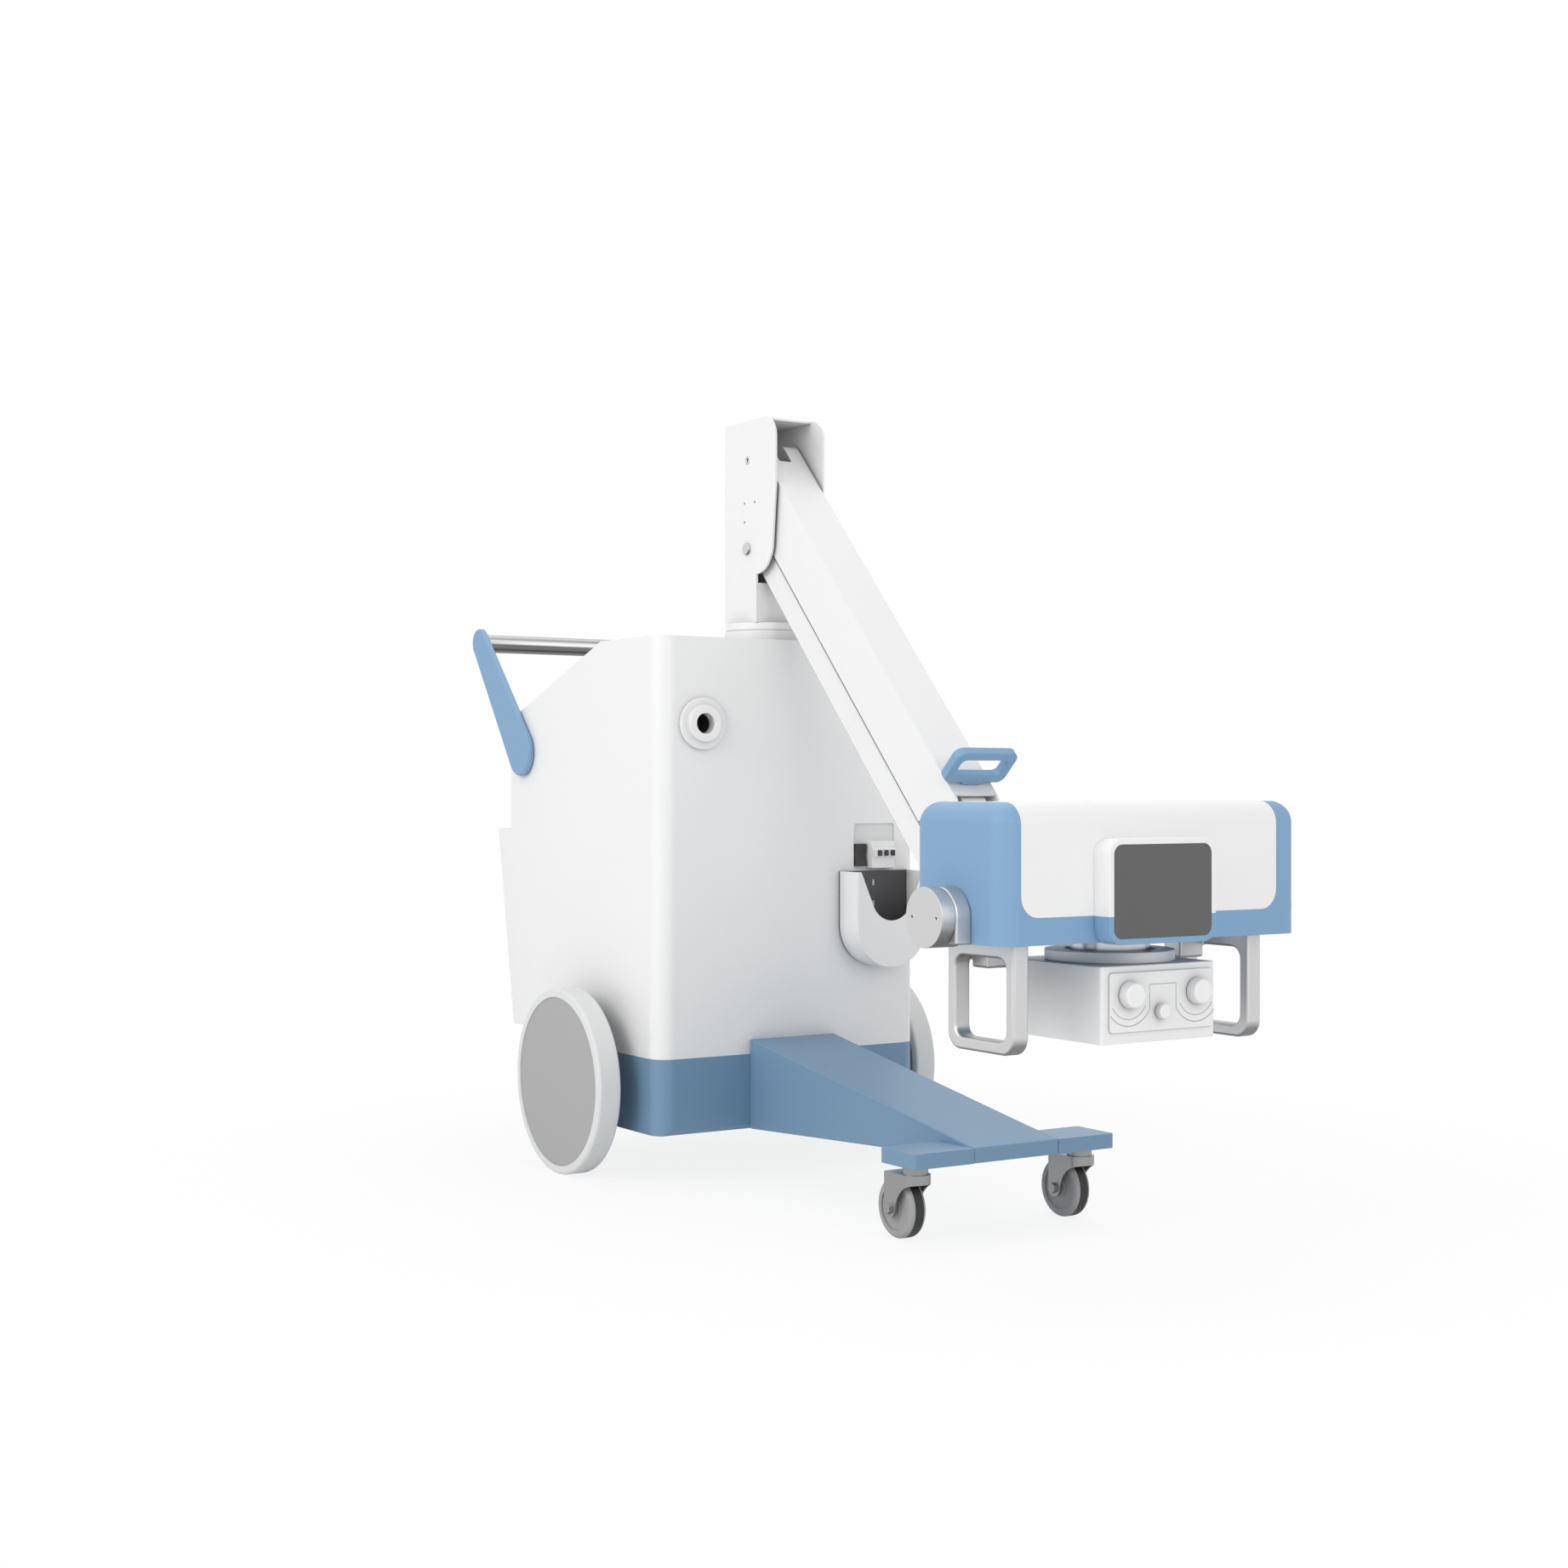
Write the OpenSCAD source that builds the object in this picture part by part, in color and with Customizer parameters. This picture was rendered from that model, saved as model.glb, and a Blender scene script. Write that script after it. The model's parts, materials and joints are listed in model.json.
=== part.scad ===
// Portable x-ray machine: a cabinet on two large rear wheels and two front casters, with a swivelling
// column, a parallelogram arm and a tube head with its collimator.
// Millimetres. The origin is on the floor, in the middle of the machine's length and width.
// +Z is up, the tube head points to -Y and the push bar is at +Y.

/* [Cabinet] */
// Width of the cabinet
cab_w = 582; // [520:1:600]
// Height of the cabinet's flat top above the floor
cab_top = 1010; // [980:1:1040]
// Depth of the flat top, front to back
cab_flat = 224; // [200:1:260]
// Depth of the cabinet at its deepest, level with the console's lower edge
cab_depth = 648; // [620:1:680]
// Height of the console's lower, rear edge
console_low = 862; // [840:1:890]
// Height at which the rear face starts to lean in
lean_top = 790; // [740:1:820]
// Depth of the cabinet at the top of the skirt
cab_foot = 546; // [520:1:580]
// Radius of the upright edges
cab_edge_r = 35; // [20:1:50]
// Height of the skirt's lower edge
skirt_low = 92; // [80:1:110]
// Height of the joint between skirt and cabinet
skirt_top = 232; // [215:1:240]

/* [Leg] */
// Width of the front leg at the cabinet
leg_root_w = 189; // [170:1:210]
// Width of the front leg at the foot
leg_tip_w = 175; // [160:1:180]
// Height of the leg at the cabinet
leg_root_top = 260; // [250:1:280]
// Distance from the cabinet's front to the foot's front edge
foot_reach = 682; // [660:1:700]
// Depth of the foot, front to back
foot_depth = 95; // [85:1:110]
// Width of the foot
foot_w = 414; // [400:1:430]
// Thickness of the foot
foot_t = 25; // [20:1:30]
// Height of the foot's top
foot_top = 149; // [145:1:153]

/* [Rear wheels] */
// Diameter of the rear wheels
wheel_d = 350; // [340:1:360]
// Width of the rear wheels
wheel_w = 46; // [40:1:52]
// Gap between the cabinet's side and a rear wheel
wheel_gap = 43; // [35:1:58]
// Distance from the cabinet's front to the rear axle
axle_back = 234; // [215:1:260]
// Height of the rim ring and tyre together
tyre_h = 16; // [12:1:22]
// Radius of the rear axle
axle_r = 12; // [9:0.5:15]

/* [Casters] */
// Diameter of the caster wheels
caster_d = 100; // [92:1:104]
// Width of the caster wheels
caster_w = 30; // [24:1:32]
// Distance between the two casters
caster_track = 342; // [326:1:350]
// Distance from the swivel axis back to the wheel's axle
caster_trail = 37; // [30:1:40]
// Radius of the caster stem
stem_r = 8; // [6:0.5:9]
// Radius of the caster axle
caster_axle_r = 5; // [4:0.5:6]
// Thickness of the fork's sheet
fork_t = 3; // [2:0.5:4]

/* [Column] */
// Width of the column
col_w = 110; // [106:1:120]
// Distance from the cabinet's front to the column post
col_front = 41; // [38:1:45]
// Depth of the column post
col_depth = 115; // [110:1:120]
// Height of the column's side plates above the floor
col_top = 1430; // [1428:1:1450]
// Distance that the side plates reach past the cabinet's front
plate_reach = 27; // [24:1:34]
// Thickness of the side plates
plate_t = 4; // [3:0.5:5]
// Radius of the two collar rings
collar_r = 78; // [76:1:90]
// Height of the fixed ring
collar_low_h = 20; // [14:1:26]
// Height of the turning ring
collar_high_h = 15; // [12:1:20]
// Radius of the swivel spigot
spigot_r = 30; // [24:1:34]

/* [Arm] */
// Length of the arm between its two pins
arm_l = 904; // [880:1:920]
// Angle of the arm below the horizontal when parked
arm_angle = 46.8; // [45.5:0.1:47.5]
// Distance between the main arm's pins and the link's pins
pin_gap = 169; // [166:1:174]
// Height of the main arm's upper pin above the floor
arm_pin_z = 1355; // [1352:1:1360]
// Distance from the cabinet's front to the upper pins
arm_pin_back = 73; // [70:1:76]
// Width of the main arm
arm_w = 91; // [86:1:92]
// Height of the main arm above its pin line
arm_up = 34; // [31:1:36]
// Depth of the main arm below its pin line
arm_down = 71; // [66:1:74]
// Wall of the main arm and the link
arm_wall = 4; // [3:0.5:5]
// Width of the lower link
link_w = 80; // [74:1:82]
// Height of the link above its pin line
link_up = 36; // [28:1:38]
// Depth of the link below its pin line
link_down = 12; // [10:1:14]
// Radius of the arm's pins
pin_r = 8; // [6:0.5:9]
// Width of the knuckle
knuckle_w = 50; // [44:1:56]
// Distance from the knuckle's pins forward to the head's tilt pin
boom_l = 199; // [190:1:215]
// Height of the tilt pin above the knuckle's lower pin
boom_rise = 79; // [70:1:90]

/* [Head] */
// Length of the tube head, side to side
head_l = 595; // [570:1:605]
// Depth of the tube head, front to back
head_d = 224; // [215:1:230]
// Height of the tube head
head_h = 208; // [200:1:216]
// Radius of the head's upright edges and its front and rear top edges
head_edge_r = 35; // [25:1:45]
// Radius of the top edges of the head's end faces
head_end_r = 8; // [5:1:20]
// Length of the pale cover, side to side
cover_l = 507; // [490:1:515]
// Sideways place of the cover's middle
cover_x = -9; // [-12:1:0]
// Height of the coloured band below the cover
band_h = 40; // [36:1:50]
// Thickness of the pale cover
cover_t = 3; // [2:0.5:4]
// Gap from the tilt pin to the head's rear face
head_gap = 53; // [48:1:60]
// Height of the head's underside below the tilt pin
head_drop = 104; // [100:1:110]
// Width of the screen pod
pod_w = 210; // [190:1:215]
// Sideways place of the screen pod's middle
pod_x = -21; // [-28:1:0]
// Height of the screen pod
pod_h = 162; // [150:1:168]
// Depth of the screen pod
pod_d = 35; // [28:1:42]
// Radius of the ears and discs on the head's ends
ear_r = 45; // [40:1:48]
// Height of the discs' centre above the head's underside
ear_rise = 39; // [36:1:44]
// Thickness of the ears
ear_t = 28; // [24:1:34]
// Thickness of the discs
disc_t = 24; // [20:1:30]
// Distance from the head's middle back to the middle of the ears and loops
ear_back = 5; // [0:1:10]
// Depth of the loop handles, front to back
loop_d = 161; // [150:1:176]
// Height of the loop handles below the head
loop_h = 165; // [158:1:180]
// Thickness of the loop handles, side to side
loop_t = 29; // [22:1:32]
// Thickness of the loop handles' bars, seen from the side
loop_bar = 19; // [16:1:22]
// Thickness of the loop handles' top bars
loop_top_bar = 23; // [18:1:26]
// Distance from the head's end to the loop handle
loop_inset = 50; // [40:1:56]

/* [Collimator] */
// Width and depth of the collimator
coll_w = 226; // [216:1:232]
// Height of the collimator's box
coll_h = 116; // [108:1:122]
// Radius of the turning flange
flange_r = 100; // [94:1:106]
// Thickness of the turning flange
flange_h = 17; // [14:1:20]
// Radius of the fixed neck
neck_r = 62; // [56:1:66]
// Height of the fixed neck
neck_h = 19; // [16:1:24]
// Depth of the flange's recess round the neck
flange_recess = 5; // [3:1:8]
// Radius of the two large knobs
knob_r = 21; // [17:1:22]
// Radius of the small knob
small_knob_r = 11; // [8:1:13]
// Length of the large knobs
knob_l = 18; // [14:1:22]

/* [Fittings] */
// Radius of the push bar
bar_r = 16; // [13:1:18]
// Distance from the cabinet's front to the push bar
bar_back = 768; // [750:1:790]
// Height of the push bar
bar_z = 1049; // [1030:1:1070]
// Distance from the cabinet's front to the handle's foot
handle_back = 528; // [505:1:550]
// Height of the handle's foot
handle_z = 784; // [770:1:800]
// Radius of the handle's foot
handle_foot_r = 30; // [26:1:34]
// Thickness of the handle's arms
handle_t = 14; // [12:1:18]
// Width of the cassette bin
bin_w = 530; // [500:1:540]
// Depth of the cassette bin
bin_d = 116; // [100:1:125]
// Height of the bin's floor
bin_low = 240; // [235:1:260]
// Height of the bin's rim
bin_top = 645; // [620:1:680]
// Wall of the cassette bin
bin_wall = 4; // [3:0.5:6]
// Distance from the cabinet's side to the round socket's middle
socket_edge = 92; // [86:1:110]
// Height of the round socket
socket_z = 849; // [835:1:865]
// Radius of the socket's flange
socket_r = 48; // [42:1:54]
// Radius of the socket's hole
socket_hole_r = 19; // [15:0.5:23]
// Distance from the cabinet's side to the cradle
cradle_edge = 25; // [16:1:34]
// Width of the cradle
cradle_w = 160; // [150:1:166]
// Depth of the cradle
cradle_d = 66; // [56:1:74]
// Height of the cradle's rim
cradle_top = 570; // [560:1:576]
// Height of the cradle's rounded floor's centre
cradle_mid = 467; // [460:1:480]
// Sheet of the cradle
cradle_t = 3; // [2:0.5:4]
// Depth of the notch in the cradle's front
notch_deep = 94; // [84:1:104]
// Radius of the notch's floor
notch_r = 48; // [40:1:54]
// Distance from the cabinet's side to the switch recess
recess_edge = 55; // [46:1:60]
// Width of the switch recess
recess_w = 95; // [90:1:100]
// Height of the switch recess
recess_h = 88; // [80:1:96]
// Width of the breaker
breaker_w = 52; // [46:1:54]
// Height of the breaker
breaker_h = 52; // [46:1:58]

/* [Hidden] */
$fn = 64;

// Running clearance between a pin and its hole
run_gap = 0.05;
// Clearance at the open pivot, where the link's lower eye meets the knuckle's pin
open_gap = 0.3;
// Extra length of a cutting shape
cut = 1;
// How far slanted edges are drawn inside the circles that they touch
seam = 0.05;

// The head's place, from the knuckle's pins
tilt_z = arm_pin_z - arm_l * sin(arm_angle) - pin_gap + boom_rise;
tilt_reach = arm_l * cos(arm_angle) - arm_pin_back + boom_l;
head_rear_reach = tilt_reach + head_gap;
head_mid_reach = head_rear_reach + head_d / 2;
head_low = tilt_z - head_drop;
head_top = head_low + head_h;
disc_z = head_low + ear_rise;

// The cabinet's front face, placed so that the machine's middle is the origin
front_reach = head_rear_reach + head_d + pod_d;
rear_reach = bar_back + bar_r;
face_y = (front_reach - rear_reach) / 2;

// Sideways places measured from the cabinet's side
wheel_track = cab_w + 2 * (wheel_gap + wheel_w);
socket_x = socket_edge - cab_w / 2;
cradle_x = cab_w / 2 - cradle_edge - cradle_w / 2;
recess_x = cab_w / 2 - recess_edge - recess_w;
recess_over = 3;
recess_z = cradle_top + recess_over;

// Places measured back from the cabinet's front
axle_y = face_y + axle_back;
axle_z = wheel_d / 2;
pin_y = face_y + arm_pin_back;
link_pin_z = arm_pin_z - pin_gap;
knuckle_y = pin_y - arm_l * cos(arm_angle);
knuckle_z = arm_pin_z - arm_l * sin(arm_angle);
tilt_y = knuckle_y - boom_l;
head_rear_y = tilt_y - head_gap;
head_y = head_rear_y - head_d / 2;
head_front_y = head_rear_y - head_d;
ear_y = head_y + ear_back;
col_y = face_y + col_front + col_depth / 2;
col_rear_y = face_y + col_front + col_depth;
foot_y = face_y - foot_reach + foot_depth / 2;
collar_mid = cab_top + collar_low_h;
col_low = collar_mid + collar_high_h;
// The post stops below the link's lower edge, with room to move
post_room = 10;
post_top = link_pin_z - (arm_pin_back - col_front) * tan(arm_angle)
    - (link_down + post_room) / cos(arm_angle);
// How far the rear face leans for each millimetre of height
bin_lean = (cab_depth - cab_foot) / (lean_top - skirt_top);

// Small forms of the chassis: skirt chamfer, foot corners, stem seats
skirt_toe = 8;
foot_corner_r = 6;
stem_seat = 18;
// Rear wheels: closed outer wall, its recess, the axle's end gap, shoulders, rim and hub
disc_wall = 8;
disc_recess = 2;
axle_end_gap = 1;
axle_half = wheel_track / 2 - disc_recess - disc_wall - axle_end_gap;
tyre_edge_r = 6;
rim_t = 6;
rim_l = 28;
hub_r = 32;
// Casters: the wheel trails behind the stem, inside the fork
caster_r = caster_d / 2;
fork_gap = 7;
fork_in = caster_w / 2 + fork_gap;
fork_out = fork_in + fork_t;
fork_room = 5;
crown_low = caster_d + fork_room;
crown_t = 4;
cup_r = 21;
fork_foot_r = 15;
fork_cut_r = 50;
fork_cut_drop = 6;
axle_head_r = 9;
axle_head_t = 6;
// Dish in each side of a caster wheel
dish = 3;
dish_from = caster_r * 0.28;
dish_to = caster_r * 0.74;
// Column: spigot, ring step, rear web, bridge, plate corners, chin and brow
spigot_l = 60;
collar_step = 2;
web_t = 6;
bridge_t = 4;
plate_top_r = 40;
chin_r = 58;
brow_drop = 58;
plate_low = post_top + 16;
// Screw holes in the side plates, from the arm's pin
screw_r = 2.5;
screw_spots = [[11, -81], [-26, -82], [11, -117]];
// Pin heads, the link pin's caps and the sockets in the arm pin's ends
pin_head_r = 11;
pin_head_t = 2;
cap_t = 5;
socket_cut_r = 3.5;
socket_cut_l = 4;
// Main arm: open lower end, lip past the upper pin, slot in the lip
arm_mouth = 85;
arm_lip = 10;
arm_slot_w = 28;
arm_slot_r = 5;
// Loop grip on the arm
grip_w = 127;
grip_h = 70;
grip_bar = 17;
grip_r = 16;
grip_back = 29;
grip_stem_h = 6;
grip_stem_w = 40;
// Lower link, knuckle and the head's rear bracket
link_eye_r = 20;
link_mouth = 88;
knuckle_r = 24;
stem_foot_r = 19;
boom_root = 34;
bracket_gap = 0.3;
bracket_cheek_t = 12;
bracket_plate_t = 8;
bracket_h = 120;
// Head: cover corners, screen pod, ears and discs
cover_corner_r = 32;
pod_r = 24;
pod_drop = 2;
screen_t = 2;
screen_edge = 9;
disc_gap = 1;
disc_step = 5;
disc_pin_r = 2;
disc_pin_l = 6;
disc_pin_reach = 30;
// Loop handles and their blocks
loop_corner_r = 28;
block_d = 40;
block_h = 20;
block_l = 50;
block_gap = 3;
// Collimator: gap round the neck, edges, window, panel and knobs
coll_top = head_low - neck_h - flange_h;
coll_low = coll_top - coll_h;
coll_front_y = head_y - coll_w / 2;
flange_gap = 8;
coll_edge_r = 5;
window_w = 120;
window_t = 3;
panel_x = 4;
panel_w = 206;
panel_h = 89;
panel_t = 3;
panel_r = 6;
panel_low = coll_low + 17;
knob_mid = 5;
knob_reach = 67;
knob_taper = 3;
knob_z = coll_low + 73;
small_knob_x = -1;
small_knob_z = coll_low + 46;
small_knob_less = 4;
// Console on the sloping rear top, with its screen and keys
console_w = 420;
console_d = 300;
console_t = 4;
console_r = 16;
console_tilt = atan((cab_top - console_low) / (cab_depth - cab_flat));
screen_w = 210;
screen_d = 130;
screen_up = 60;
glass_t = 1.5;
key_w = 34;
key_d = 20;
key_t = 2;
key_r = 4;
key_pitch = 54;
key_back = 70;
// Gap behind the cassette bin, and how much thinner the push bar is than its eyes
bin_gap = 0.1;
bar_less = 1;
// Round socket: flange, boss and depth of its hole
socket_flange_t = 8;
socket_boss_r = 34;
socket_boss_t = 17;
socket_deep = 40;
// Switch recess: corners, depth and the sheet on its floor
recess_r = 6;
panel_depth = 6;
panel_sheet = 2;
switch_y = face_y + panel_depth - panel_sheet;
rocker_w = 25;
rocker_h = 43;
rocker_t = 9;
rocker_dip = 3;
rocker_in = 2;
rocker_up = 6;
// Breaker: place in the recess, body, nose and toggles
breaker_x = recess_x + recess_w - breaker_w - 12;
breaker_z = recess_z + 2;
breaker_t = 22;
nose_t = 8;
nose_up = 22;
nose_h = 15;
toggle_w = 8;
toggle_t = 5;
toggle_up = 2;
toggle_pitch = 15;
// Cradle: half-width of the notch at the rim, and the slots in its back
notch_flare = 72;
slot_w = 7;
slot_h = 12;
slot_spots = [[-22.5, 80], [0, 80], [0, 40]];

// Draws a side outline, across the machine. The outline's x is Y and its y is Z.
module across(w) {
    rotate([90, 0, 90]) linear_extrude(w, center = true) children();
}

// Draws a front outline from y_rear forward. The outline's x is X and its y is Z.
module forward(y_rear, d) {
    translate([0, y_rear, 0]) rotate([90, 0, 0]) linear_extrude(d) children();
}

// A pin or tube across the machine, from x_from to x_to
module rod(r, x_from, x_to, y, z) {
    translate([x_from, y, z]) rotate([0, 90, 0]) cylinder(r = r, h = x_to - x_from);
}

// A rectangle with round corners, from its lower left corner
module soft_rect(w, h, r) {
    translate([r, 0]) square([w - 2 * r, h]);
    translate([0, r]) square([w, h - 2 * r]);
    for (x = [r, w - r], y = [r, h - r]) translate([x, y]) circle(r);
}

// A rectangle with its two upper corners round, centred on x and standing on y = 0
module arch_rect(w, h, r) {
    translate([-w / 2, 0]) square([w, h - r]);
    translate([-w / 2 + r, 0]) square([w - 2 * r, h]);
    for (x = [-w / 2 + r, w / 2 - r]) translate([x, h - r]) circle(r);
}

// Two circles joined by their outer tangents
module tapered_bar(p1, r1, p2, r2) {
    d = p2 - p1;
    turn = atan2(d[1], d[0]);
    swing = acos((r1 - r2) / norm(d));
    sides = [[cos(turn + swing), sin(turn + swing)], [cos(turn - swing), sin(turn - swing)]];
    translate(p1) circle(r1);
    translate(p2) circle(r2);
    s1 = r1 - seam;
    s2 = r2 - seam;
    polygon([p1 + s1 * sides[1], p2 + s2 * sides[1], p2 + s2 * sides[0], p1 + s1 * sides[0]]);
}

// Places an outline on a parked arm. Its x runs down the arm from the upper pin, its y is square to it.
module along_arm(w, z) {
    across(w) translate([pin_y, z]) rotate(arm_angle) mirror([1, 0]) children();
}

// The cabinet's outline from above, with round upright edges
module plan(d) {
    translate([-cab_w / 2, face_y]) soft_rect(cab_w, d, cab_edge_r);
}

module cabinet() color("white") {
    difference() {
        intersection() {
            linear_extrude(cab_top) plan(cab_depth);
            across(cab_w) translate([face_y, 0]) polygon([
                [0, skirt_top], [0, cab_top], [cab_flat, cab_top],
                [cab_depth, console_low], [cab_depth, lean_top], [cab_foot, skirt_top],
            ]);
        }
        translate([0, col_y, cab_top - spigot_l]) cylinder(r = spigot_r + run_gap, h = spigot_l + cut);
        translate([recess_x, 0, recess_z]) forward(face_y + panel_depth, panel_depth + cut)
            soft_rect(recess_w, recess_h, recess_r);
        translate([socket_x, face_y - cut, socket_z]) rotate([-90, 0, 0])
            cylinder(r = socket_hole_r, h = socket_deep + cut);
    }
}

module skirt() color("steelblue") difference() {
    intersection() {
        linear_extrude(skirt_top) plan(cab_foot);
        across(cab_w) translate([face_y, 0]) polygon([
            [skirt_toe, skirt_low], [0, skirt_low + skirt_toe], [0, skirt_top], [cab_foot, skirt_top],
            [cab_foot - (skirt_top - skirt_low) * bin_lean, skirt_low],
        ]);
    }
    rod(axle_r, -cab_w, cab_w, axle_y, axle_z);
}

// The leg falls from the cabinet to the foot and narrows a little
module leg() color("steelblue") intersection() {
    across(cab_w) translate([face_y, 0]) polygon([
        [0, skirt_low], [0, leg_root_top], [-foot_reach + foot_depth, foot_top],
        [-foot_reach, foot_top], [-foot_reach, foot_top - foot_t],
        [-foot_reach + foot_depth, foot_top - foot_t],
    ]);
    linear_extrude(cab_top) translate([0, face_y]) polygon([
        [-leg_root_w / 2, 0], [leg_root_w / 2, 0],
        [leg_tip_w / 2, -foot_reach + foot_depth], [leg_tip_w / 2, -foot_reach],
        [-leg_tip_w / 2, -foot_reach], [-leg_tip_w / 2, -foot_reach + foot_depth],
    ]);
}

// The two wings of the foot, which carry the casters
module foot_wings() color("steelblue") {
    wing = (foot_w - leg_tip_w) / 2;
    for (side = [-1, 1])
        difference() {
            translate([side > 0 ? leg_tip_w / 2 : -foot_w / 2, foot_y - foot_depth / 2, foot_top - foot_t])
                linear_extrude(foot_t) soft_rect_outer(wing, foot_depth, foot_corner_r, side);
            translate([side * caster_track / 2, foot_y, foot_top - foot_t - cut])
                cylinder(r = stem_r + run_gap, h = stem_seat + cut);
        }
}

// A rectangle with only its outer corners round, on the side given as -1 or 1
module soft_rect_outer(w, h, r, side) {
    translate([side > 0 ? 0 : r, 0]) square([w - r, h]);
    translate([0, r]) square([w, h - 2 * r]);
    for (y = [r, h - r]) translate([side > 0 ? w - r : r, y]) circle(r);
}

module rear_axle() color("silver")
    rod(axle_r, -axle_half, axle_half, axle_y, axle_z);

module tyre(side) color("gainsboro")
    translate([side * (wheel_track - wheel_w) / 2, axle_y, axle_z]) rotate([0, 90, 0])
        rotate_extrude() translate([axle_z - tyre_h, -wheel_w / 2])
            soft_tread(tyre_h, wheel_w, tyre_edge_r);

// Half section of a tyre: its outer corners are round
module soft_tread(h, w, r) {
    square([h - r, w]);
    translate([0, r]) square([h, w - 2 * r]);
    for (y = [r, w - r]) translate([h - r, y]) circle(r, $fn = 32);
}

// A wheel's disc with its hub, closed on the outside
module wheel_disc(side) color("darkgray") {
    outer = wheel_track / 2 - disc_recess;
    inner = wheel_track / 2 - wheel_w;
    disc_r = axle_z - tyre_h;
    mirror([side > 0 ? 0 : 1, 0, 0]) difference() {
        union() {
            rod(disc_r, outer - disc_wall, outer, axle_y, axle_z);
            rod(disc_r, outer - disc_wall - rim_l, outer - disc_wall, axle_y, axle_z);
            rod(hub_r, inner, outer - disc_wall, axle_y, axle_z);
        }
        difference() {
            rod(disc_r - rim_t, inner - cut, outer - disc_wall, axle_y, axle_z);
            rod(hub_r, inner - 2 * cut, outer, axle_y, axle_z);
        }
        rod(axle_r + run_gap, inner - cut, axle_half + axle_end_gap, axle_y, axle_z);
    }
}

module rear_tyre_left() tyre(-1);
module rear_tyre_right() tyre(1);
module rear_disc_left() wheel_disc(-1);
module rear_disc_right() wheel_disc(1);

// A caster's fork: a bent shell open to the rear, with its crown, swivel cup, stem and axle bolt
module caster_fork(side) color("silver") {
    wheel_y = foot_y + caster_trail;
    crown_top = crown_low + crown_t;
    foot_low = foot_top - foot_t;
    translate([side * caster_track / 2, 0, 0]) {
        intersection() {
            linear_extrude(crown_low + cut) difference() {
                fork_plan(fork_out);
                fork_plan(fork_in);
            }
            across(2 * fork_out + cut) fork_side(wheel_y);
        }
        translate([0, 0, crown_low]) linear_extrude(crown_t) difference() {
            fork_plan(fork_out);
            translate([-fork_out - cut, wheel_y + fork_foot_r]) square([2 * (fork_out + cut), fork_out]);
        }
        translate([0, foot_y, crown_top]) cylinder(r = cup_r, h = foot_low - crown_top);
        translate([0, foot_y, crown_top]) cylinder(r = stem_r, h = foot_low + stem_seat - 2 * cut - crown_top);
        rod(caster_axle_r, -fork_out, fork_out, wheel_y, caster_r);
        rod(axle_head_r, fork_out, fork_out + axle_head_t, wheel_y, caster_r, $fn = 6);
        rod(axle_head_r, -fork_out - axle_head_t, -fork_out, wheel_y, caster_r, $fn = 6);
    }
}

// The fork seen from above: round about the stem and open to the rear
module fork_plan(r) {
    translate([0, foot_y]) circle(r);
    translate([-r, foot_y]) square([2 * r, caster_trail + fork_foot_r + cut]);
}

// The fork seen from the side: a leg at the axle and a round cut in front of it
module fork_side(wheel_y) {
    leg_y = wheel_y - fork_foot_r;
    difference() {
        translate([foot_y - fork_out - cut, caster_r])
            square([wheel_y - foot_y + fork_out + cut, crown_low + cut - caster_r]);
        translate([leg_y - fork_cut_r, caster_r - fork_cut_drop]) circle(fork_cut_r);
    }
    translate([leg_y, caster_r]) square([2 * fork_foot_r, crown_low + cut - caster_r]);
    translate([wheel_y, caster_r]) circle(fork_foot_r);
}

// A caster's wheel: a grey body with a dark tread, in one piece
module caster_wheel(side) color("dimgray")
    translate([side * caster_track / 2, foot_y + caster_trail, caster_r]) rotate([0, 90, 0])
        rotate_extrude() difference() {
            translate([caster_axle_r + run_gap, -caster_w / 2])
                soft_tread(caster_r - caster_axle_r - run_gap, caster_w, caster_w / 4);
            for (way = [-1, 1])
                translate([dish_from, way > 0 ? caster_w / 2 - dish : -caster_w / 2 - cut])
                    square([dish_to - dish_from, dish + cut]);
        }

module caster_fork_left() caster_fork(-1);
module caster_fork_right() caster_fork(1);
module caster_wheel_left() caster_wheel(-1);
module caster_wheel_right() caster_wheel(1);

// The swivel between cabinet and column
module collar_base() color("white") translate([0, col_y, cab_top]) difference() {
    cylinder(r = collar_r, h = collar_low_h);
    translate([0, 0, -cut]) cylinder(r = spigot_r + run_gap, h = collar_low_h + 2 * cut);
}

module collar_top() color("white") translate([0, col_y, 0]) {
    translate([0, 0, collar_mid]) cylinder(r = collar_r - collar_step, h = collar_high_h);
    translate([0, 0, cab_top - spigot_l + cut]) cylinder(r = spigot_r, h = spigot_l + collar_low_h);
}

// The post with the rear web that closes the column's back
module column_post() color("white") {
    w = col_w - 2 * plate_t;
    translate([-w / 2, face_y + col_front, col_low]) cube([w, col_depth, post_top - col_low]);
    translate([-w / 2, col_rear_y - web_t, post_top - cut])
        cube([w, web_t, col_top - bridge_t - post_top + cut]);
}

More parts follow.
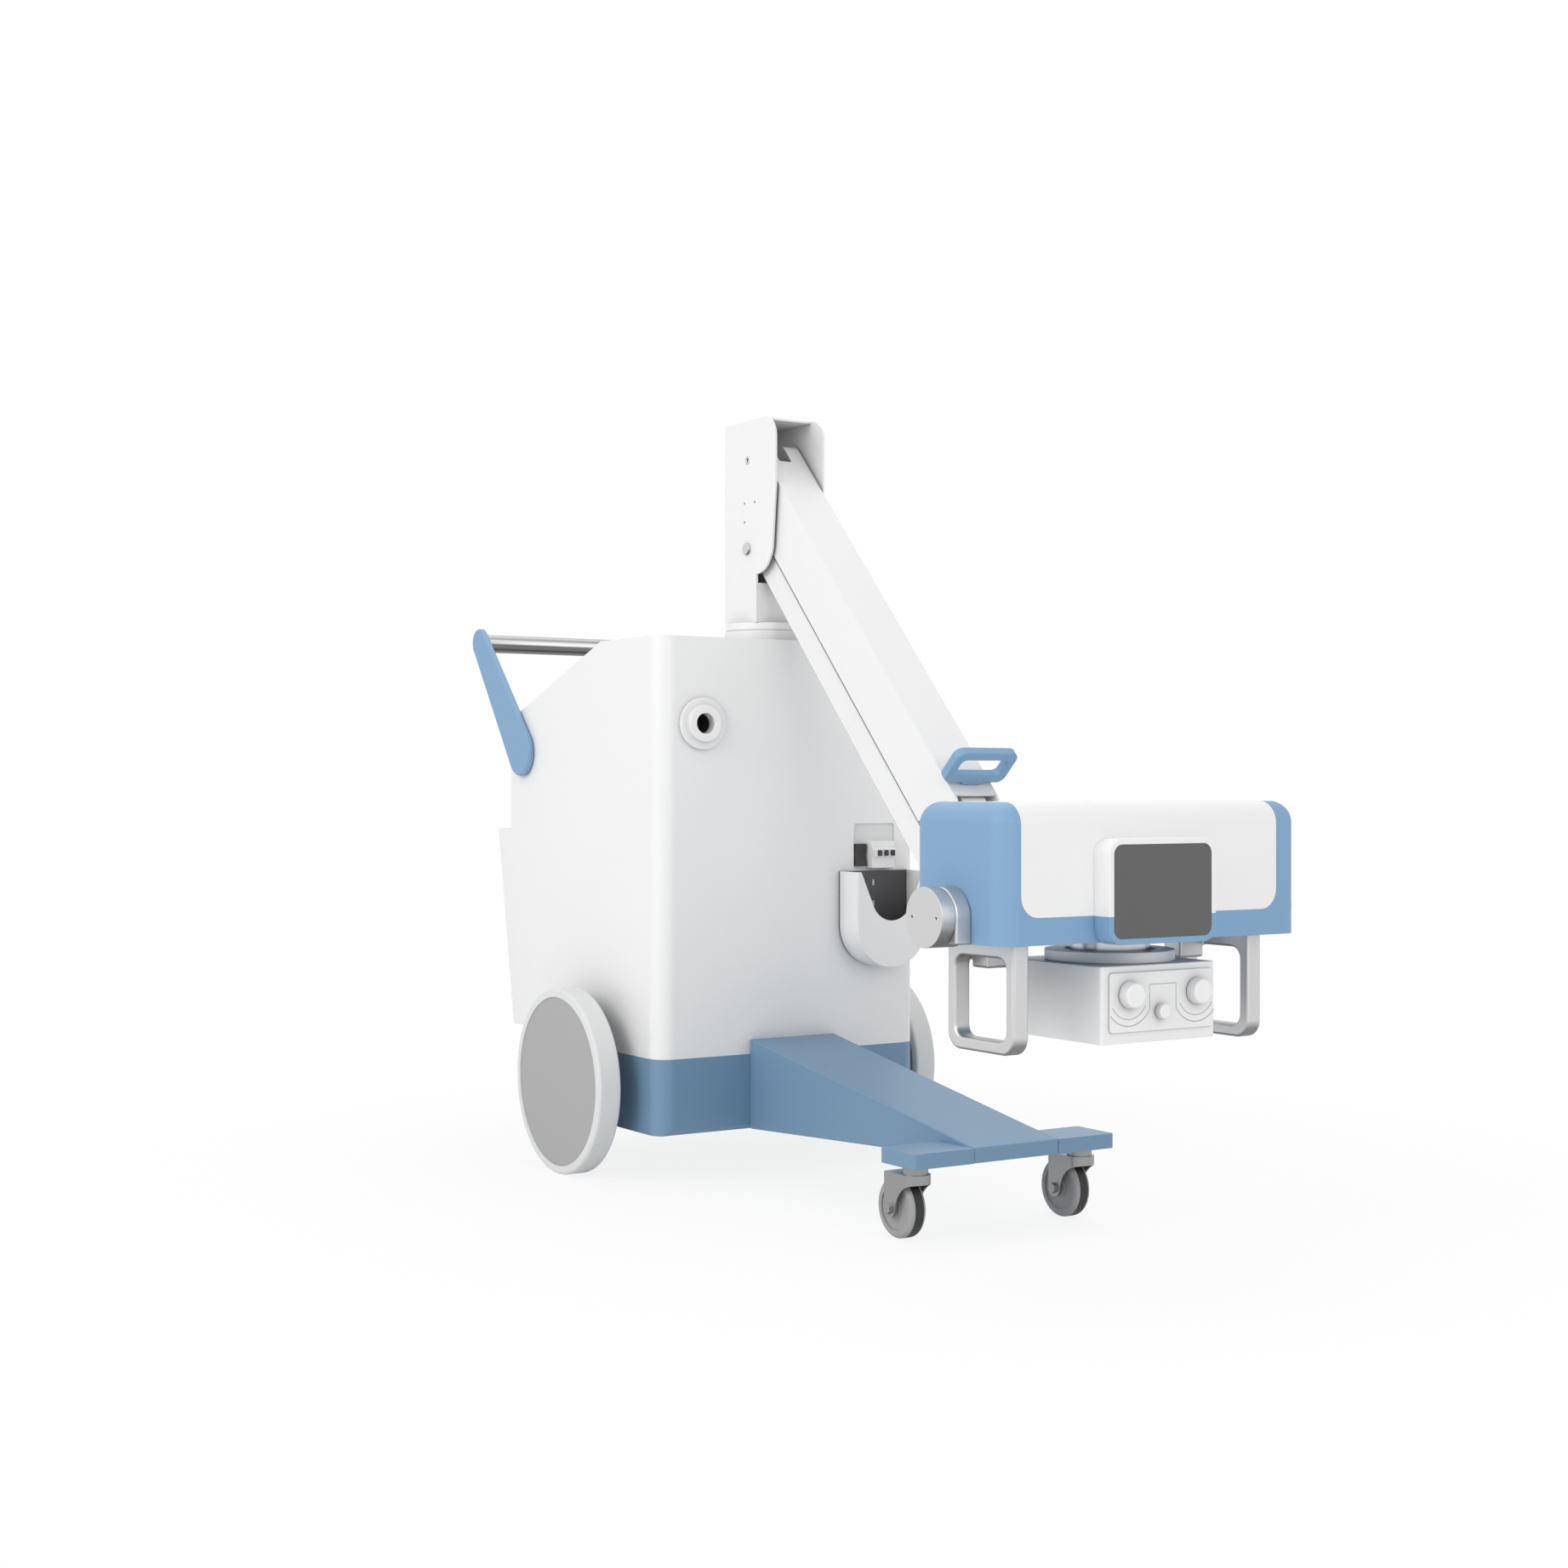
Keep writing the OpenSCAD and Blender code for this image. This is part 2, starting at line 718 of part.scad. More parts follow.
// One side plate: a full-height rear part and a deeper upper part that slants in to a round chin
module column_plate(side) color("white")
    translate([side * (col_w - plate_t) / 2, 0, 0]) difference() {
        across(plate_t) {
            y_front = face_y - plate_reach;
            y_post = face_y + col_front;
            z_round = col_top - plate_top_r;
            chin = [y_post, plate_low + chin_r];
            brow = [y_front, arm_pin_z - brow_drop];
            turn = atan2(brow[1] - chin[1], brow[0] - chin[0]) + acos(chin_r / norm(brow - chin));
            translate([y_post, col_low]) square([col_depth, z_round - col_low]);
            polygon([
                [y_front, z_round + cut], brow, chin + (chin_r - seam) * [cos(turn), sin(turn)],
                [y_post + cut, chin[1]], [y_post + cut, z_round + cut],
            ]);
            translate(chin) circle(chin_r);
            translate([y_front + plate_top_r, z_round]) circle(plate_top_r);
            translate([y_front + plate_top_r, z_round - cut])
                square([col_rear_y - y_front - plate_top_r, plate_top_r + cut]);
        }
        for (z = [arm_pin_z, link_pin_z]) rod(pin_r, -col_w, col_w, pin_y, z);
        for (p = screw_spots)
            rod(screw_r, -col_w, col_w, pin_y + p[0], arm_pin_z + p[1]);
    }
module column_plate_left() column_plate(-1);
module column_plate_right() column_plate(1);

module column_bridge() color("white") {
    w = col_w - 2 * plate_t;
    y_front = face_y - plate_reach + plate_top_r;
    translate([-w / 2, y_front, col_top - bridge_t]) cube([w, col_rear_y - y_front, bridge_t]);
}

// A pin across the machine with a low head on each end
module headed_pin(half, y, z) {
    rod(pin_r, -half, half, y, z);
    rod(pin_head_r, -half - pin_head_t, -half, y, z);
    rod(pin_head_r, half, half + pin_head_t, y, z);
}

// The arm's pin is flush with the plates, the link's pin has thicker heads
module upper_pins() color("silver") {
    difference() {
        rod(pin_r, -col_w / 2, col_w / 2, pin_y, arm_pin_z);
        rod(socket_cut_r, -col_w, socket_cut_l - col_w / 2, pin_y, arm_pin_z);
        rod(socket_cut_r, col_w / 2 - socket_cut_l, col_w, pin_y, arm_pin_z);
    }
    rod(pin_r, -col_w / 2, col_w / 2, pin_y, link_pin_z);
    rod(pin_head_r, col_w / 2, col_w / 2 + cap_t, pin_y, link_pin_z);
    rod(pin_head_r, -col_w / 2 - cap_t, -col_w / 2, pin_y, link_pin_z);
}

// The main arm: solid in its middle, with open ends where only its cheeks reach the pins
module main_arm() color("white") {
    slope = arm_down - arm_up;
    inner_w = arm_w - 2 * arm_wall;
    difference() {
        along_arm(arm_w, arm_pin_z) {
            polygon([[0, arm_up], [0, -arm_up], [slope, -arm_down],
                [arm_l - slope, -arm_down], [arm_l, -arm_up], [arm_l, arm_up]]);
            for (x = [0, arm_l]) translate([x, 0]) circle(arm_up - seam);
        }
        along_arm(inner_w, arm_pin_z) {
            translate([-2 * arm_up, -2 * arm_down])
                square([2 * arm_up + slope, 2 * arm_down + arm_up - arm_wall]);
            translate([-2 * arm_up, 0]) square([2 * arm_up - arm_lip, 2 * arm_up]);
            translate([arm_l - arm_mouth, -2 * arm_down])
                square([arm_mouth + 2 * arm_up, 2 * arm_down + arm_up - arm_wall]);
            translate([arm_l, 0]) square([2 * arm_up, 2 * arm_up]);
        }
        translate([0, pin_y, arm_pin_z]) rotate([arm_angle, 0, 0])
            translate([-arm_slot_w / 2, -slope, arm_up - 2 * arm_wall]) linear_extrude(3 * arm_wall)
                soft_rect(arm_slot_w, slope + 2 * arm_up, arm_slot_r);
        rod(pin_r + run_gap, -arm_w, arm_w, pin_y, arm_pin_z);
        rod(pin_r, -arm_w, arm_w, knuckle_y, knuckle_z);
    }
}

module arm_end_pin() color("silver") headed_pin(arm_w / 2, knuckle_y, knuckle_z);

// The loop grip stands square to the arm's upper face
module arm_grip() color("steelblue")
    translate([0, pin_y, arm_pin_z]) rotate([arm_angle, 0, 0])
        translate([0, -(arm_l - grip_back), arm_up]) {
            translate([-grip_stem_w / 2, -grip_bar / 2, 0]) cube([grip_stem_w, grip_bar, grip_stem_h + cut]);
            translate([-grip_w / 2, grip_bar / 2, grip_stem_h]) rotate([90, 0, 0])
                linear_extrude(grip_bar) difference() {
                    soft_rect(grip_w, grip_h, grip_r);
                    translate([grip_bar, grip_bar])
                        soft_rect(grip_w - 2 * grip_bar, grip_h - 2 * grip_bar, grip_r / 2);
                }
        }

// The lower link keeps the knuckle upright
module lower_link() color("white") {
    inner_w = link_w - 2 * arm_wall;
    lower_y = pin_y - arm_l * cos(arm_angle);
    lower_z = link_pin_z - arm_l * sin(arm_angle);
    difference() {
        along_arm(link_w, link_pin_z) {
            translate([0, -link_down]) square([arm_l, link_up + link_down]);
            for (x = [0, arm_l]) translate([x, 0]) circle(link_eye_r);
        }
        along_arm(inner_w, link_pin_z) {
            translate([-link_up, -link_up]) square([2 * link_up, 3 * link_up]);
            translate([arm_l - link_mouth, -link_up]) square([link_mouth + link_up, 3 * link_up]);
        }
        rod(pin_r + run_gap, -link_w, link_w, pin_y, link_pin_z);
        rod(pin_r + open_gap, -link_w, link_w, lower_y, lower_z);
    }
}

// The knuckle: an upright stem on the two lower pins, and a boom forward to the tilt pin
module knuckle() color("white") difference() {
    across(knuckle_w) {
        tapered_bar([knuckle_y, knuckle_z], knuckle_r, [knuckle_y, knuckle_z - pin_gap], stem_foot_r);
        tapered_bar([knuckle_y, tilt_z], boom_root, [tilt_y, tilt_z], knuckle_r);
    }
    rod(pin_r + run_gap, -knuckle_w, knuckle_w, knuckle_y, knuckle_z);
    rod(pin_r, -knuckle_w, knuckle_w, knuckle_y, knuckle_z - pin_gap);
    rod(pin_r + run_gap, -knuckle_w, knuckle_w, tilt_y, tilt_z);
}

module link_end_pin() color("silver") {
    half = link_w / 2 + 1;
    rod(pin_r, -half, half, knuckle_y, knuckle_z - pin_gap);
}

// The head's rear bracket: a plate with two cheeks on the tilt pin
module head_bracket() color("white") {
    inner = knuckle_w / 2 + bracket_gap;
    outer = inner + bracket_cheek_t;
    difference() {
        union() {
            translate([-outer - bracket_cheek_t, head_rear_y, tilt_z - bracket_h / 2])
                cube([2 * (outer + bracket_cheek_t), bracket_plate_t, bracket_h]);
            for (side = [-1, 1])
                translate([side * (inner + bracket_cheek_t / 2), 0, 0]) across(bracket_cheek_t)
                    tapered_bar([head_rear_y + bracket_plate_t / 2, tilt_z], knuckle_r + 6,
                        [tilt_y, tilt_z], knuckle_r - 2);
        }
        translate([-outer - cut, head_rear_y - head_d, tilt_z - bracket_h])
            cube([2 * (outer + cut), head_d, 2 * bracket_h]);
        rod(pin_r, -col_w, col_w, tilt_y, tilt_z);
    }
}

module tilt_pin() color("silver")
    headed_pin(knuckle_w / 2 + bracket_gap + bracket_cheek_t, tilt_y, tilt_z);

// The head's outer form, drawn in by a distance all round
module head_form(inset) {
    r = head_edge_r - inset;
    r_end = head_end_r - inset;
    l = head_l - 2 * inset;
    d = head_d - 2 * inset;
    h = head_h - 2 * inset;
    intersection() {
        translate([-l / 2, head_y - d / 2, head_low + inset]) linear_extrude(h) soft_rect(l, d, r);
        translate([0, 0, head_low + inset]) across(l) translate([head_y, 0]) arch_rect(d, h, r);
        translate([0, 0, head_low + inset]) forward(head_y + d / 2, d) arch_rect(l, h, r_end);
    }
}

// The band that the pale cover fills, round the head's front, top and back
module cover_band() {
    h = head_h - band_h + cut;
    forward(head_rear_y + cut, head_d + 2 * cut)
        translate([cover_x - cover_l / 2, head_low + band_h]) soft_rect_low(cover_l, h, cover_corner_r);
}

// A rectangle with only its lower corners round
module soft_rect_low(w, h, r) {
    translate([0, r]) square([w, h - r]);
    translate([r, 0]) square([w - 2 * r, h]);
    for (x = [r, w - r]) translate([x, r]) circle(r);
}

module head_body() color("steelblue") difference() {
    head_form(0);
    difference() {
        cover_band();
        head_form(cover_t);
    }
}

module head_cover() color("white") difference() {
    intersection() {
        head_form(0);
        cover_band();
    }
    head_form(cover_t);
}

// The screen pod stands on the head's front face
module screen_pod() color("white") {
    forward(head_front_y, pod_d - screen_t) pod_outline(0);
    forward(head_front_y - pod_d + screen_t, screen_t) difference() {
        pod_outline(0);
        pod_outline(screen_edge);
    }
}

module pod_outline(inset)
    translate([pod_x - pod_w / 2 + inset, head_low - pod_drop + inset])
        soft_rect(pod_w - 2 * inset, pod_h - 2 * inset, pod_r - inset);

module screen_glass() color("dimgray")
    forward(head_front_y - pod_d + screen_t, screen_t) pod_outline(screen_edge);

// The ears on the head's ends and the discs on them
module head_ears() color("silver")
    for (side = [-1, 1])
        translate([side * (head_l + ear_t) / 2, 0, 0]) across(ear_t) {
            translate([ear_y, disc_z]) circle(ear_r);
            translate([ear_y - ear_r, head_low]) square([2 * ear_r, ear_rise]);
        }

// Each disc stands off its ear on a short hub and has two blind pin holes
module head_discs() color("silver") {
    inner = head_l / 2 + ear_t;
    outer = inner + disc_gap + disc_t;
    for (side = [0, 1]) mirror([side, 0, 0]) difference() {
        union() {
            rod(ear_r - disc_step, inner, inner + disc_gap + cut, ear_y, disc_z);
            rod(ear_r, inner + disc_gap, outer, ear_y, disc_z);
        }
        for (way = [-1, 1])
            rod(disc_pin_r, outer - disc_pin_l, outer + cut, ear_y + way * disc_pin_reach, disc_z);
    }
}

// A loop handle under the head, with the block at its inner face
module loop_handle(side) color("silver") mirror([side > 0 ? 0 : 1, 0, 0]) {
    x_out = head_l / 2 - loop_inset;
    x_in = x_out - loop_t;
    y_front = ear_y - loop_d / 2;
    translate([x_out - loop_t / 2, 0, 0]) across(loop_t) translate([y_front, head_low - loop_h]) difference() {
        soft_rect_low(loop_d, loop_h, loop_corner_r);
        translate([loop_bar, loop_bar])
            soft_rect(loop_d - 2 * loop_bar, loop_h - loop_bar - loop_top_bar, loop_corner_r - loop_bar / 2);
    }
    translate([x_in - block_l, y_front + loop_d - loop_bar - block_gap - block_d, head_low - loop_top_bar - block_h])
        cube([block_l, block_d, loop_top_bar + block_h]);
}
module loop_left() loop_handle(-1);
module loop_right() loop_handle(1);

// The collimator hangs under the head on its neck, which stands in the flange's recess
module collimator_neck() color("silver")
    translate([0, head_y, head_low - neck_h - flange_recess]) cylinder(r = neck_r, h = neck_h + flange_recess);

module collimator_flange() color("white") translate([0, head_y, coll_top]) difference() {
    cylinder(r = flange_r, h = flange_h);
    translate([0, 0, flange_h - flange_recess]) cylinder(r = neck_r + flange_gap, h = flange_recess + cut);
}

module collimator_box() color("white") difference() {
    translate([-coll_w / 2, coll_front_y, coll_low]) linear_extrude(coll_h) soft_rect(coll_w, coll_w, coll_edge_r);
    translate([-window_w / 2, head_y - window_w / 2, coll_low - cut]) cube([window_w, window_w, window_t + cut]);
}

module collimator_window() color("lightgray")
    translate([-window_w / 2, head_y - window_w / 2, coll_low]) cube([window_w, window_w, window_t]);

// The raised front panel, with round corners
module collimator_panel() color("white")
    forward(coll_front_y, panel_t)
        translate([panel_x - panel_w / 2, panel_low]) soft_rect(panel_w, panel_h, panel_r);

// Two large knobs that narrow forward, and a small one below and between them
module collimator_knobs() color("white") translate([0, coll_front_y - panel_t, 0]) {
    for (side = [-1, 1])
        translate([knob_mid + side * knob_reach, 0, knob_z]) rotate([90, 0, 0])
            cylinder(r1 = knob_r, r2 = knob_r - knob_taper, h = knob_l);
    translate([small_knob_x, 0, small_knob_z]) rotate([90, 0, 0])
        cylinder(r = small_knob_r, h = knob_l - small_knob_less);
}

// The console on the cabinet's sloping rear top
module on_console()
    translate([0, face_y + (cab_flat + cab_depth) / 2, (cab_top + console_low) / 2])
        rotate([-console_tilt, 0, 0]) children();

module console_panel() color("gainsboro") on_console() difference() {
    union() {
        translate([-console_w / 2, -console_d / 2, 0]) linear_extrude(console_t)
            soft_rect(console_w, console_d, console_r);
        for (i = [-2:2])
            translate([i * key_pitch - key_w / 2, console_d / 2 - key_back, console_t - cut])
                linear_extrude(key_t + cut) soft_rect(key_w, key_d, key_r);
    }
    translate([-screen_w / 2, -screen_up - screen_d / 2, console_t - glass_t])
        cube([screen_w, screen_d, glass_t + key_t + cut]);
}

module console_screen() color("dimgray") on_console()
    translate([-screen_w / 2, -screen_up - screen_d / 2, console_t - glass_t])
        cube([screen_w, screen_d, glass_t]);

// The cassette bin on the leaning rear face, open at its top
module cassette_bin() color("whitesmoke") {
    back = cab_foot - (skirt_top - bin_low) * bin_lean + bin_gap;
    reach = (bin_top - bin_low) * bin_lean;
    difference() {
        across(bin_w) translate([face_y, 0]) polygon([
            [back, bin_low], [back + bin_d, bin_low], [back + bin_d + reach, bin_top], [back + reach, bin_top],
        ]);
        across(bin_w - 2 * bin_wall) translate([face_y, 0]) polygon([
            [back + bin_wall + bin_wall * bin_lean, bin_low + bin_wall],
            [back + bin_d - bin_wall + bin_wall * bin_lean, bin_low + bin_wall],
            [back + bin_d - bin_wall + reach + bin_wall * bin_lean, bin_top + bin_wall],
            [back + bin_wall + reach + bin_wall * bin_lean, bin_top + bin_wall],
        ]);
    }
}

module handle_arm(side) color("steelblue")
    translate([side * (cab_w + handle_t) / 2, 0, 0]) across(handle_t)
        tapered_bar([face_y + bar_back, bar_z], bar_r, [face_y + handle_back, handle_z], handle_foot_r);
module handle_arm_left() handle_arm(-1);
module handle_arm_right() handle_arm(1);

module push_bar() color("silver")
    rod(bar_r - bar_less, -cab_w / 2, cab_w / 2, face_y + bar_back, bar_z);

// The round socket on the front
module cable_socket() color("white")
    translate([socket_x, face_y, socket_z]) rotate([90, 0, 0]) difference() {
        union() {
            cylinder(r = socket_r, h = socket_flange_t);
            cylinder(r = socket_boss_r, h = socket_boss_t);
        }
        translate([0, 0, -cut]) cylinder(r = socket_hole_r, h = socket_boss_t + 2 * cut);
    }

// The switch panel lines the floor of its recess
module switch_panel() color("gainsboro")
    translate([recess_x, 0, recess_z]) forward(face_y + panel_depth, panel_sheet)
        soft_rect(recess_w, recess_h, recess_r);

// The rocker's face is a shallow V
module rocker_switch() color("dimgray")
    translate([recess_x + rocker_in + rocker_w / 2, switch_y, recess_z + rocker_up])
        across(rocker_w) polygon([
            [0, 0], [0, rocker_h], [-rocker_t, rocker_h],
            [-rocker_t + rocker_dip, rocker_h / 2], [-rocker_t, 0],
        ]);

module breaker() color("white") translate([breaker_x, 0, breaker_z]) {
    forward(switch_y, breaker_t) square([breaker_w, breaker_h]);
    translate([0, 0, nose_up]) forward(switch_y, breaker_t + nose_t) square([breaker_w, nose_h]);
}

// Three toggles on the breaker's nose
module breaker_toggles() color("dimgray")
    for (i = [-1:1])
        translate([breaker_x + breaker_w / 2 + i * toggle_pitch - toggle_w / 2, 0, breaker_z + nose_up + toggle_up])
            forward(switch_y - breaker_t - nose_t, toggle_t) square([toggle_w, nose_h - 2 * toggle_up]);

// The cradle: a pocket of bent sheet with a deep notch in its front
module cradle() color("white") difference() {
    forward(face_y - cradle_t, cradle_d - cradle_t) cradle_outline(0);
    forward(face_y - cradle_t + cut, cradle_d - 2 * cradle_t + cut) {
        cradle_outline(cradle_t);
        translate([cradle_x - cradle_w / 2 + cradle_t, cradle_top - 2 * cradle_t])
            square([cradle_w - 2 * cradle_t, 3 * cradle_t]);
    }
    forward(face_y - cradle_d / 2, cradle_d) cradle_notch();
}

// The cradle's back plate, with three slots
module cradle_back() color("gray") difference() {
    forward(face_y, cradle_t) cradle_outline(0);
    for (p = slot_spots)
        forward(face_y + cut, cradle_t + 2 * cut)
            translate([cradle_x + p[0] - slot_w / 2, cradle_mid + p[1] - slot_h / 2]) square([slot_w, slot_h]);
}

module cradle_outline(inset) {
    translate([cradle_x, cradle_mid]) circle(cradle_w / 2 - inset);
    translate([cradle_x - cradle_w / 2 + inset, cradle_mid])
        square([cradle_w - 2 * inset, cradle_top - cradle_mid]);
}

// The notch, whose sides flare out to the rim
module cradle_notch() {
    rise = notch_deep - notch_r;
    turn = atan2(rise, notch_flare) - acos(notch_r / norm([notch_flare, rise]));
    touch = (notch_r - seam) * [cos(turn), sin(turn)];
    translate([cradle_x, cradle_top - rise]) {
        circle(notch_r);
        polygon([
            [-notch_flare, rise + cut], [notch_flare, rise + cut], [notch_flare, rise],
            touch, [-touch[0], touch[1]], [-notch_flare, rise],
        ]);
    }
}

cabinet();
skirt();
leg();
foot_wings();
rear_axle();
collar_base();
console_panel();
console_screen();
cassette_bin();
handle_arm_left();
handle_arm_right();
push_bar();
cable_socket();
switch_panel();
rocker_switch();
breaker();
breaker_toggles();
cradle();
cradle_back();
collar_top();
column_post();
column_plate_left();
column_plate_right();
column_bridge();
upper_pins();
main_arm();
arm_grip();
arm_end_pin();
lower_link();
knuckle();
link_end_pin();
head_bracket();
tilt_pin();
head_body();
head_cover();
screen_pod();
screen_glass();
head_ears();
head_discs();
loop_left();
loop_right();
collimator_neck();
collimator_flange();
collimator_box();
collimator_panel();
collimator_knobs();
collimator_window();
rear_tyre_left();
rear_disc_left();
rear_tyre_right();
rear_disc_right();
caster_fork_left();
caster_wheel_left();
caster_fork_right();
caster_wheel_right();
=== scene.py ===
"""Looks for the portable x-ray machine: finishes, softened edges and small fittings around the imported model."""
import json
import math

import bmesh
import bpy
from mathutils import Matrix, Vector

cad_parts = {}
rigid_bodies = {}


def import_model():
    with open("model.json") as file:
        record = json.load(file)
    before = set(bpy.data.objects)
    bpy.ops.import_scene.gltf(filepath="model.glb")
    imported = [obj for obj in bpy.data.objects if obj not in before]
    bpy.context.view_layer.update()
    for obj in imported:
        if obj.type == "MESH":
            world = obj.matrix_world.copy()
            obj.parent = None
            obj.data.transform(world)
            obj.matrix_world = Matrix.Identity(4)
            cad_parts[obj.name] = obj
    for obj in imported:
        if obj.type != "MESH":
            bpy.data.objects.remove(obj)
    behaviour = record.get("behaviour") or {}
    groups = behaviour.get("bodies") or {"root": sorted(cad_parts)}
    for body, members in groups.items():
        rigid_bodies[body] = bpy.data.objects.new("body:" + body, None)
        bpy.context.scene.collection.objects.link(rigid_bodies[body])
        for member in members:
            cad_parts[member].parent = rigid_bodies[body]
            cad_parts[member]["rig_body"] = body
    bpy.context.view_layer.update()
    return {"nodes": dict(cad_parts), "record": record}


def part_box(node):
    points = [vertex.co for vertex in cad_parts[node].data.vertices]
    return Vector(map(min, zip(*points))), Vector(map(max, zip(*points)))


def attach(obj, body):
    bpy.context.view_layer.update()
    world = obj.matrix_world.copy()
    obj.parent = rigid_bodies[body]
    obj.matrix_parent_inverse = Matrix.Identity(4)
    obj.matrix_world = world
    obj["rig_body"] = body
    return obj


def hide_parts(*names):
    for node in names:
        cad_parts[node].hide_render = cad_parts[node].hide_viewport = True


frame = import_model()

# Camera, worked out from the photograph
CAMERA_PLACE = (-2.2552, -3.3878, 0.733)
CAMERA_YAW = 32.4
CAMERA_LENS = 50.7
CAMERA_SHIFT_Y = 0.0015

# Light on the object from all round, and how much of the floor near it shows plain white
WORLD_LIGHT = 0.60
FLOOR_WHITE = 0.85

# Colours as linear values
WHITE = (0.86, 0.86, 0.86)
BLUE = (0.205, 0.365, 0.560)
PALE_GREY = (0.74, 0.75, 0.75)
DISC_GREY = (0.40, 0.40, 0.405)
SCREEN_GREY = (0.082, 0.082, 0.082)
# A darker copy of BLUE with painted shade, for the lower body's blue parts
SHADED_BLUE = (0.165, 0.292, 0.435)
SILVER = (0.66, 0.66, 0.665)
DARK_RUBBER = (0.022, 0.022, 0.022)
CASTER_GREY = (0.36, 0.36, 0.36)
# Grey of the panel's engraved lines: painted shade in the grooves
GROOVE_SHADE_GREY = (0.34, 0.34, 0.35)


def body_of_node(node):
    """The CAD body that a node belongs to."""
    return frame["nodes"][node]["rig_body"]


# Materials
def new_material(name):
    material = bpy.data.materials.new(name)
    material.use_nodes = True
    tree = material.node_tree
    return material, tree, tree.nodes["Principled BSDF"]


def add_grain(tree, shader, scale, strength, distance, detail=3.0):
    """Fine bump from noise, in object space, on a shader's normal."""
    place = tree.nodes.new("ShaderNodeTexCoord")
    noise = tree.nodes.new("ShaderNodeTexNoise")
    noise.inputs["Scale"].default_value = scale
    noise.inputs["Detail"].default_value = detail
    bump = tree.nodes.new("ShaderNodeBump")
    bump.inputs["Strength"].default_value = strength
    bump.inputs["Distance"].default_value = distance
    tree.links.new(place.outputs["Object"], noise.inputs["Vector"])
    tree.links.new(noise.outputs["Fac"], bump.inputs["Height"])
    tree.links.new(bump.outputs["Normal"], shader.inputs["Normal"])
    return place


def add_wear(tree, shader, place, colour, low, high, spread, rough, rough_spread):
    """Slow drift of colour and roughness over the surface."""
    noise = tree.nodes.new("ShaderNodeTexNoise")
    noise.inputs["Scale"].default_value = spread
    noise.inputs["Detail"].default_value = 5.0
    tint = tree.nodes.new("ShaderNodeValToRGB")
    tint.color_ramp.elements[0].color = tuple(c * low for c in colour) + (1,)
    tint.color_ramp.elements[1].color = tuple(c * high for c in colour) + (1,)
    gloss = tree.nodes.new("ShaderNodeMapRange")
    gloss.inputs["To Min"].default_value = rough - rough_spread
    gloss.inputs["To Max"].default_value = rough + rough_spread
    tree.links.new(place.outputs["Object"], noise.inputs["Vector"])
    tree.links.new(noise.outputs["Fac"], tint.inputs["Fac"])
    tree.links.new(noise.outputs["Fac"], gloss.inputs["Value"])
    tree.links.new(tint.outputs["Color"], shader.inputs["Base Color"])
    tree.links.new(gloss.outputs["Result"], shader.inputs["Roughness"])


def shade_hollows(tree, shader, reach, tone):
    """Painted shade: darkens a surface's colour where other surfaces stand close to it."""
    source = shader.inputs["Base Color"].links[0].from_socket
    near = tree.nodes.new("ShaderNodeAmbientOcclusion")
    near.inputs["Distance"].default_value = reach
    near.samples = 8
    level = tree.nodes.new("ShaderNodeMapRange")
    level.inputs["To Min"].default_value = tone
    level.inputs["To Max"].default_value = 1.0
    mix = tree.nodes.new("ShaderNodeVectorMath")
    mix.operation = "SCALE"
    tree.links.new(near.outputs["AO"], level.inputs["Value"])
    tree.links.new(source, mix.inputs[0])
    tree.links.new(level.outputs["Result"], mix.inputs["Scale"])
    tree.links.new(mix.outputs["Vector"], shader.inputs["Base Color"])


def finish_material(name, colour, rough, grain, grain_depth, metal=0.0, coat=0.0, drift=0.03, rough_spread=0.05, painted_hollow_shade=None):
    material, tree, shader = new_material(name)
    shader.inputs["Metallic"].default_value = metal
    shader.inputs["Coat Weight"].default_value = coat
    shader.inputs["Coat Roughness"].default_value = 0.15
    place = add_grain(tree, shader, grain, 0.25, grain_depth)
    add_wear(tree, shader, place, colour, 1 - drift, 1 + drift, 4.0, rough, rough_spread)
    # painted shade in hollows, where other surfaces stand close
    if painted_hollow_shade:
        shade_hollows(tree, shader, *painted_hollow_shade)
    return material


def brushed_material(name, colour, rough, stretch, metal=1.0):
    """Metal with fine lines along one axis."""
    material, tree, shader = new_material(name)
    shader.inputs["Metallic"].default_value = metal
    place = tree.nodes.new("ShaderNodeTexCoord")
    scale = tree.nodes.new("ShaderNodeMapping")
    scale.inputs["Scale"].default_value = stretch
    noise = tree.nodes.new("ShaderNodeTexNoise")
    noise.inputs["Scale"].default_value = 60.0
    noise.inputs["Detail"].default_value = 4.0
    bump = tree.nodes.new("ShaderNodeBump")
    bump.inputs["Strength"].default_value = 0.12
    bump.inputs["Distance"].default_value = 0.0004
    tint = tree.nodes.new("ShaderNodeValToRGB")
    tint.color_ramp.elements[0].color = tuple(c * 0.93 for c in colour) + (1,)
    tint.color_ramp.elements[1].color = tuple(c * 1.05 for c in colour) + (1,)
    gloss = tree.nodes.new("ShaderNodeMapRange")
    gloss.inputs["To Min"].default_value = rough - 0.06
    gloss.inputs["To Max"].default_value = rough + 0.06
    tree.links.new(place.outputs["Object"], scale.inputs["Vector"])
    tree.links.new(scale.outputs["Vector"], noise.inputs["Vector"])
    tree.links.new(noise.outputs["Fac"], bump.inputs["Height"])
    tree.links.new(noise.outputs["Fac"], tint.inputs["Fac"])
    tree.links.new(noise.outputs["Fac"], gloss.inputs["Value"])
    tree.links.new(bump.outputs["Normal"], shader.inputs["Normal"])
    tree.links.new(tint.outputs["Color"], shader.inputs["Base Color"])
    tree.links.new(gloss.outputs["Result"], shader.inputs["Roughness"])
    return material


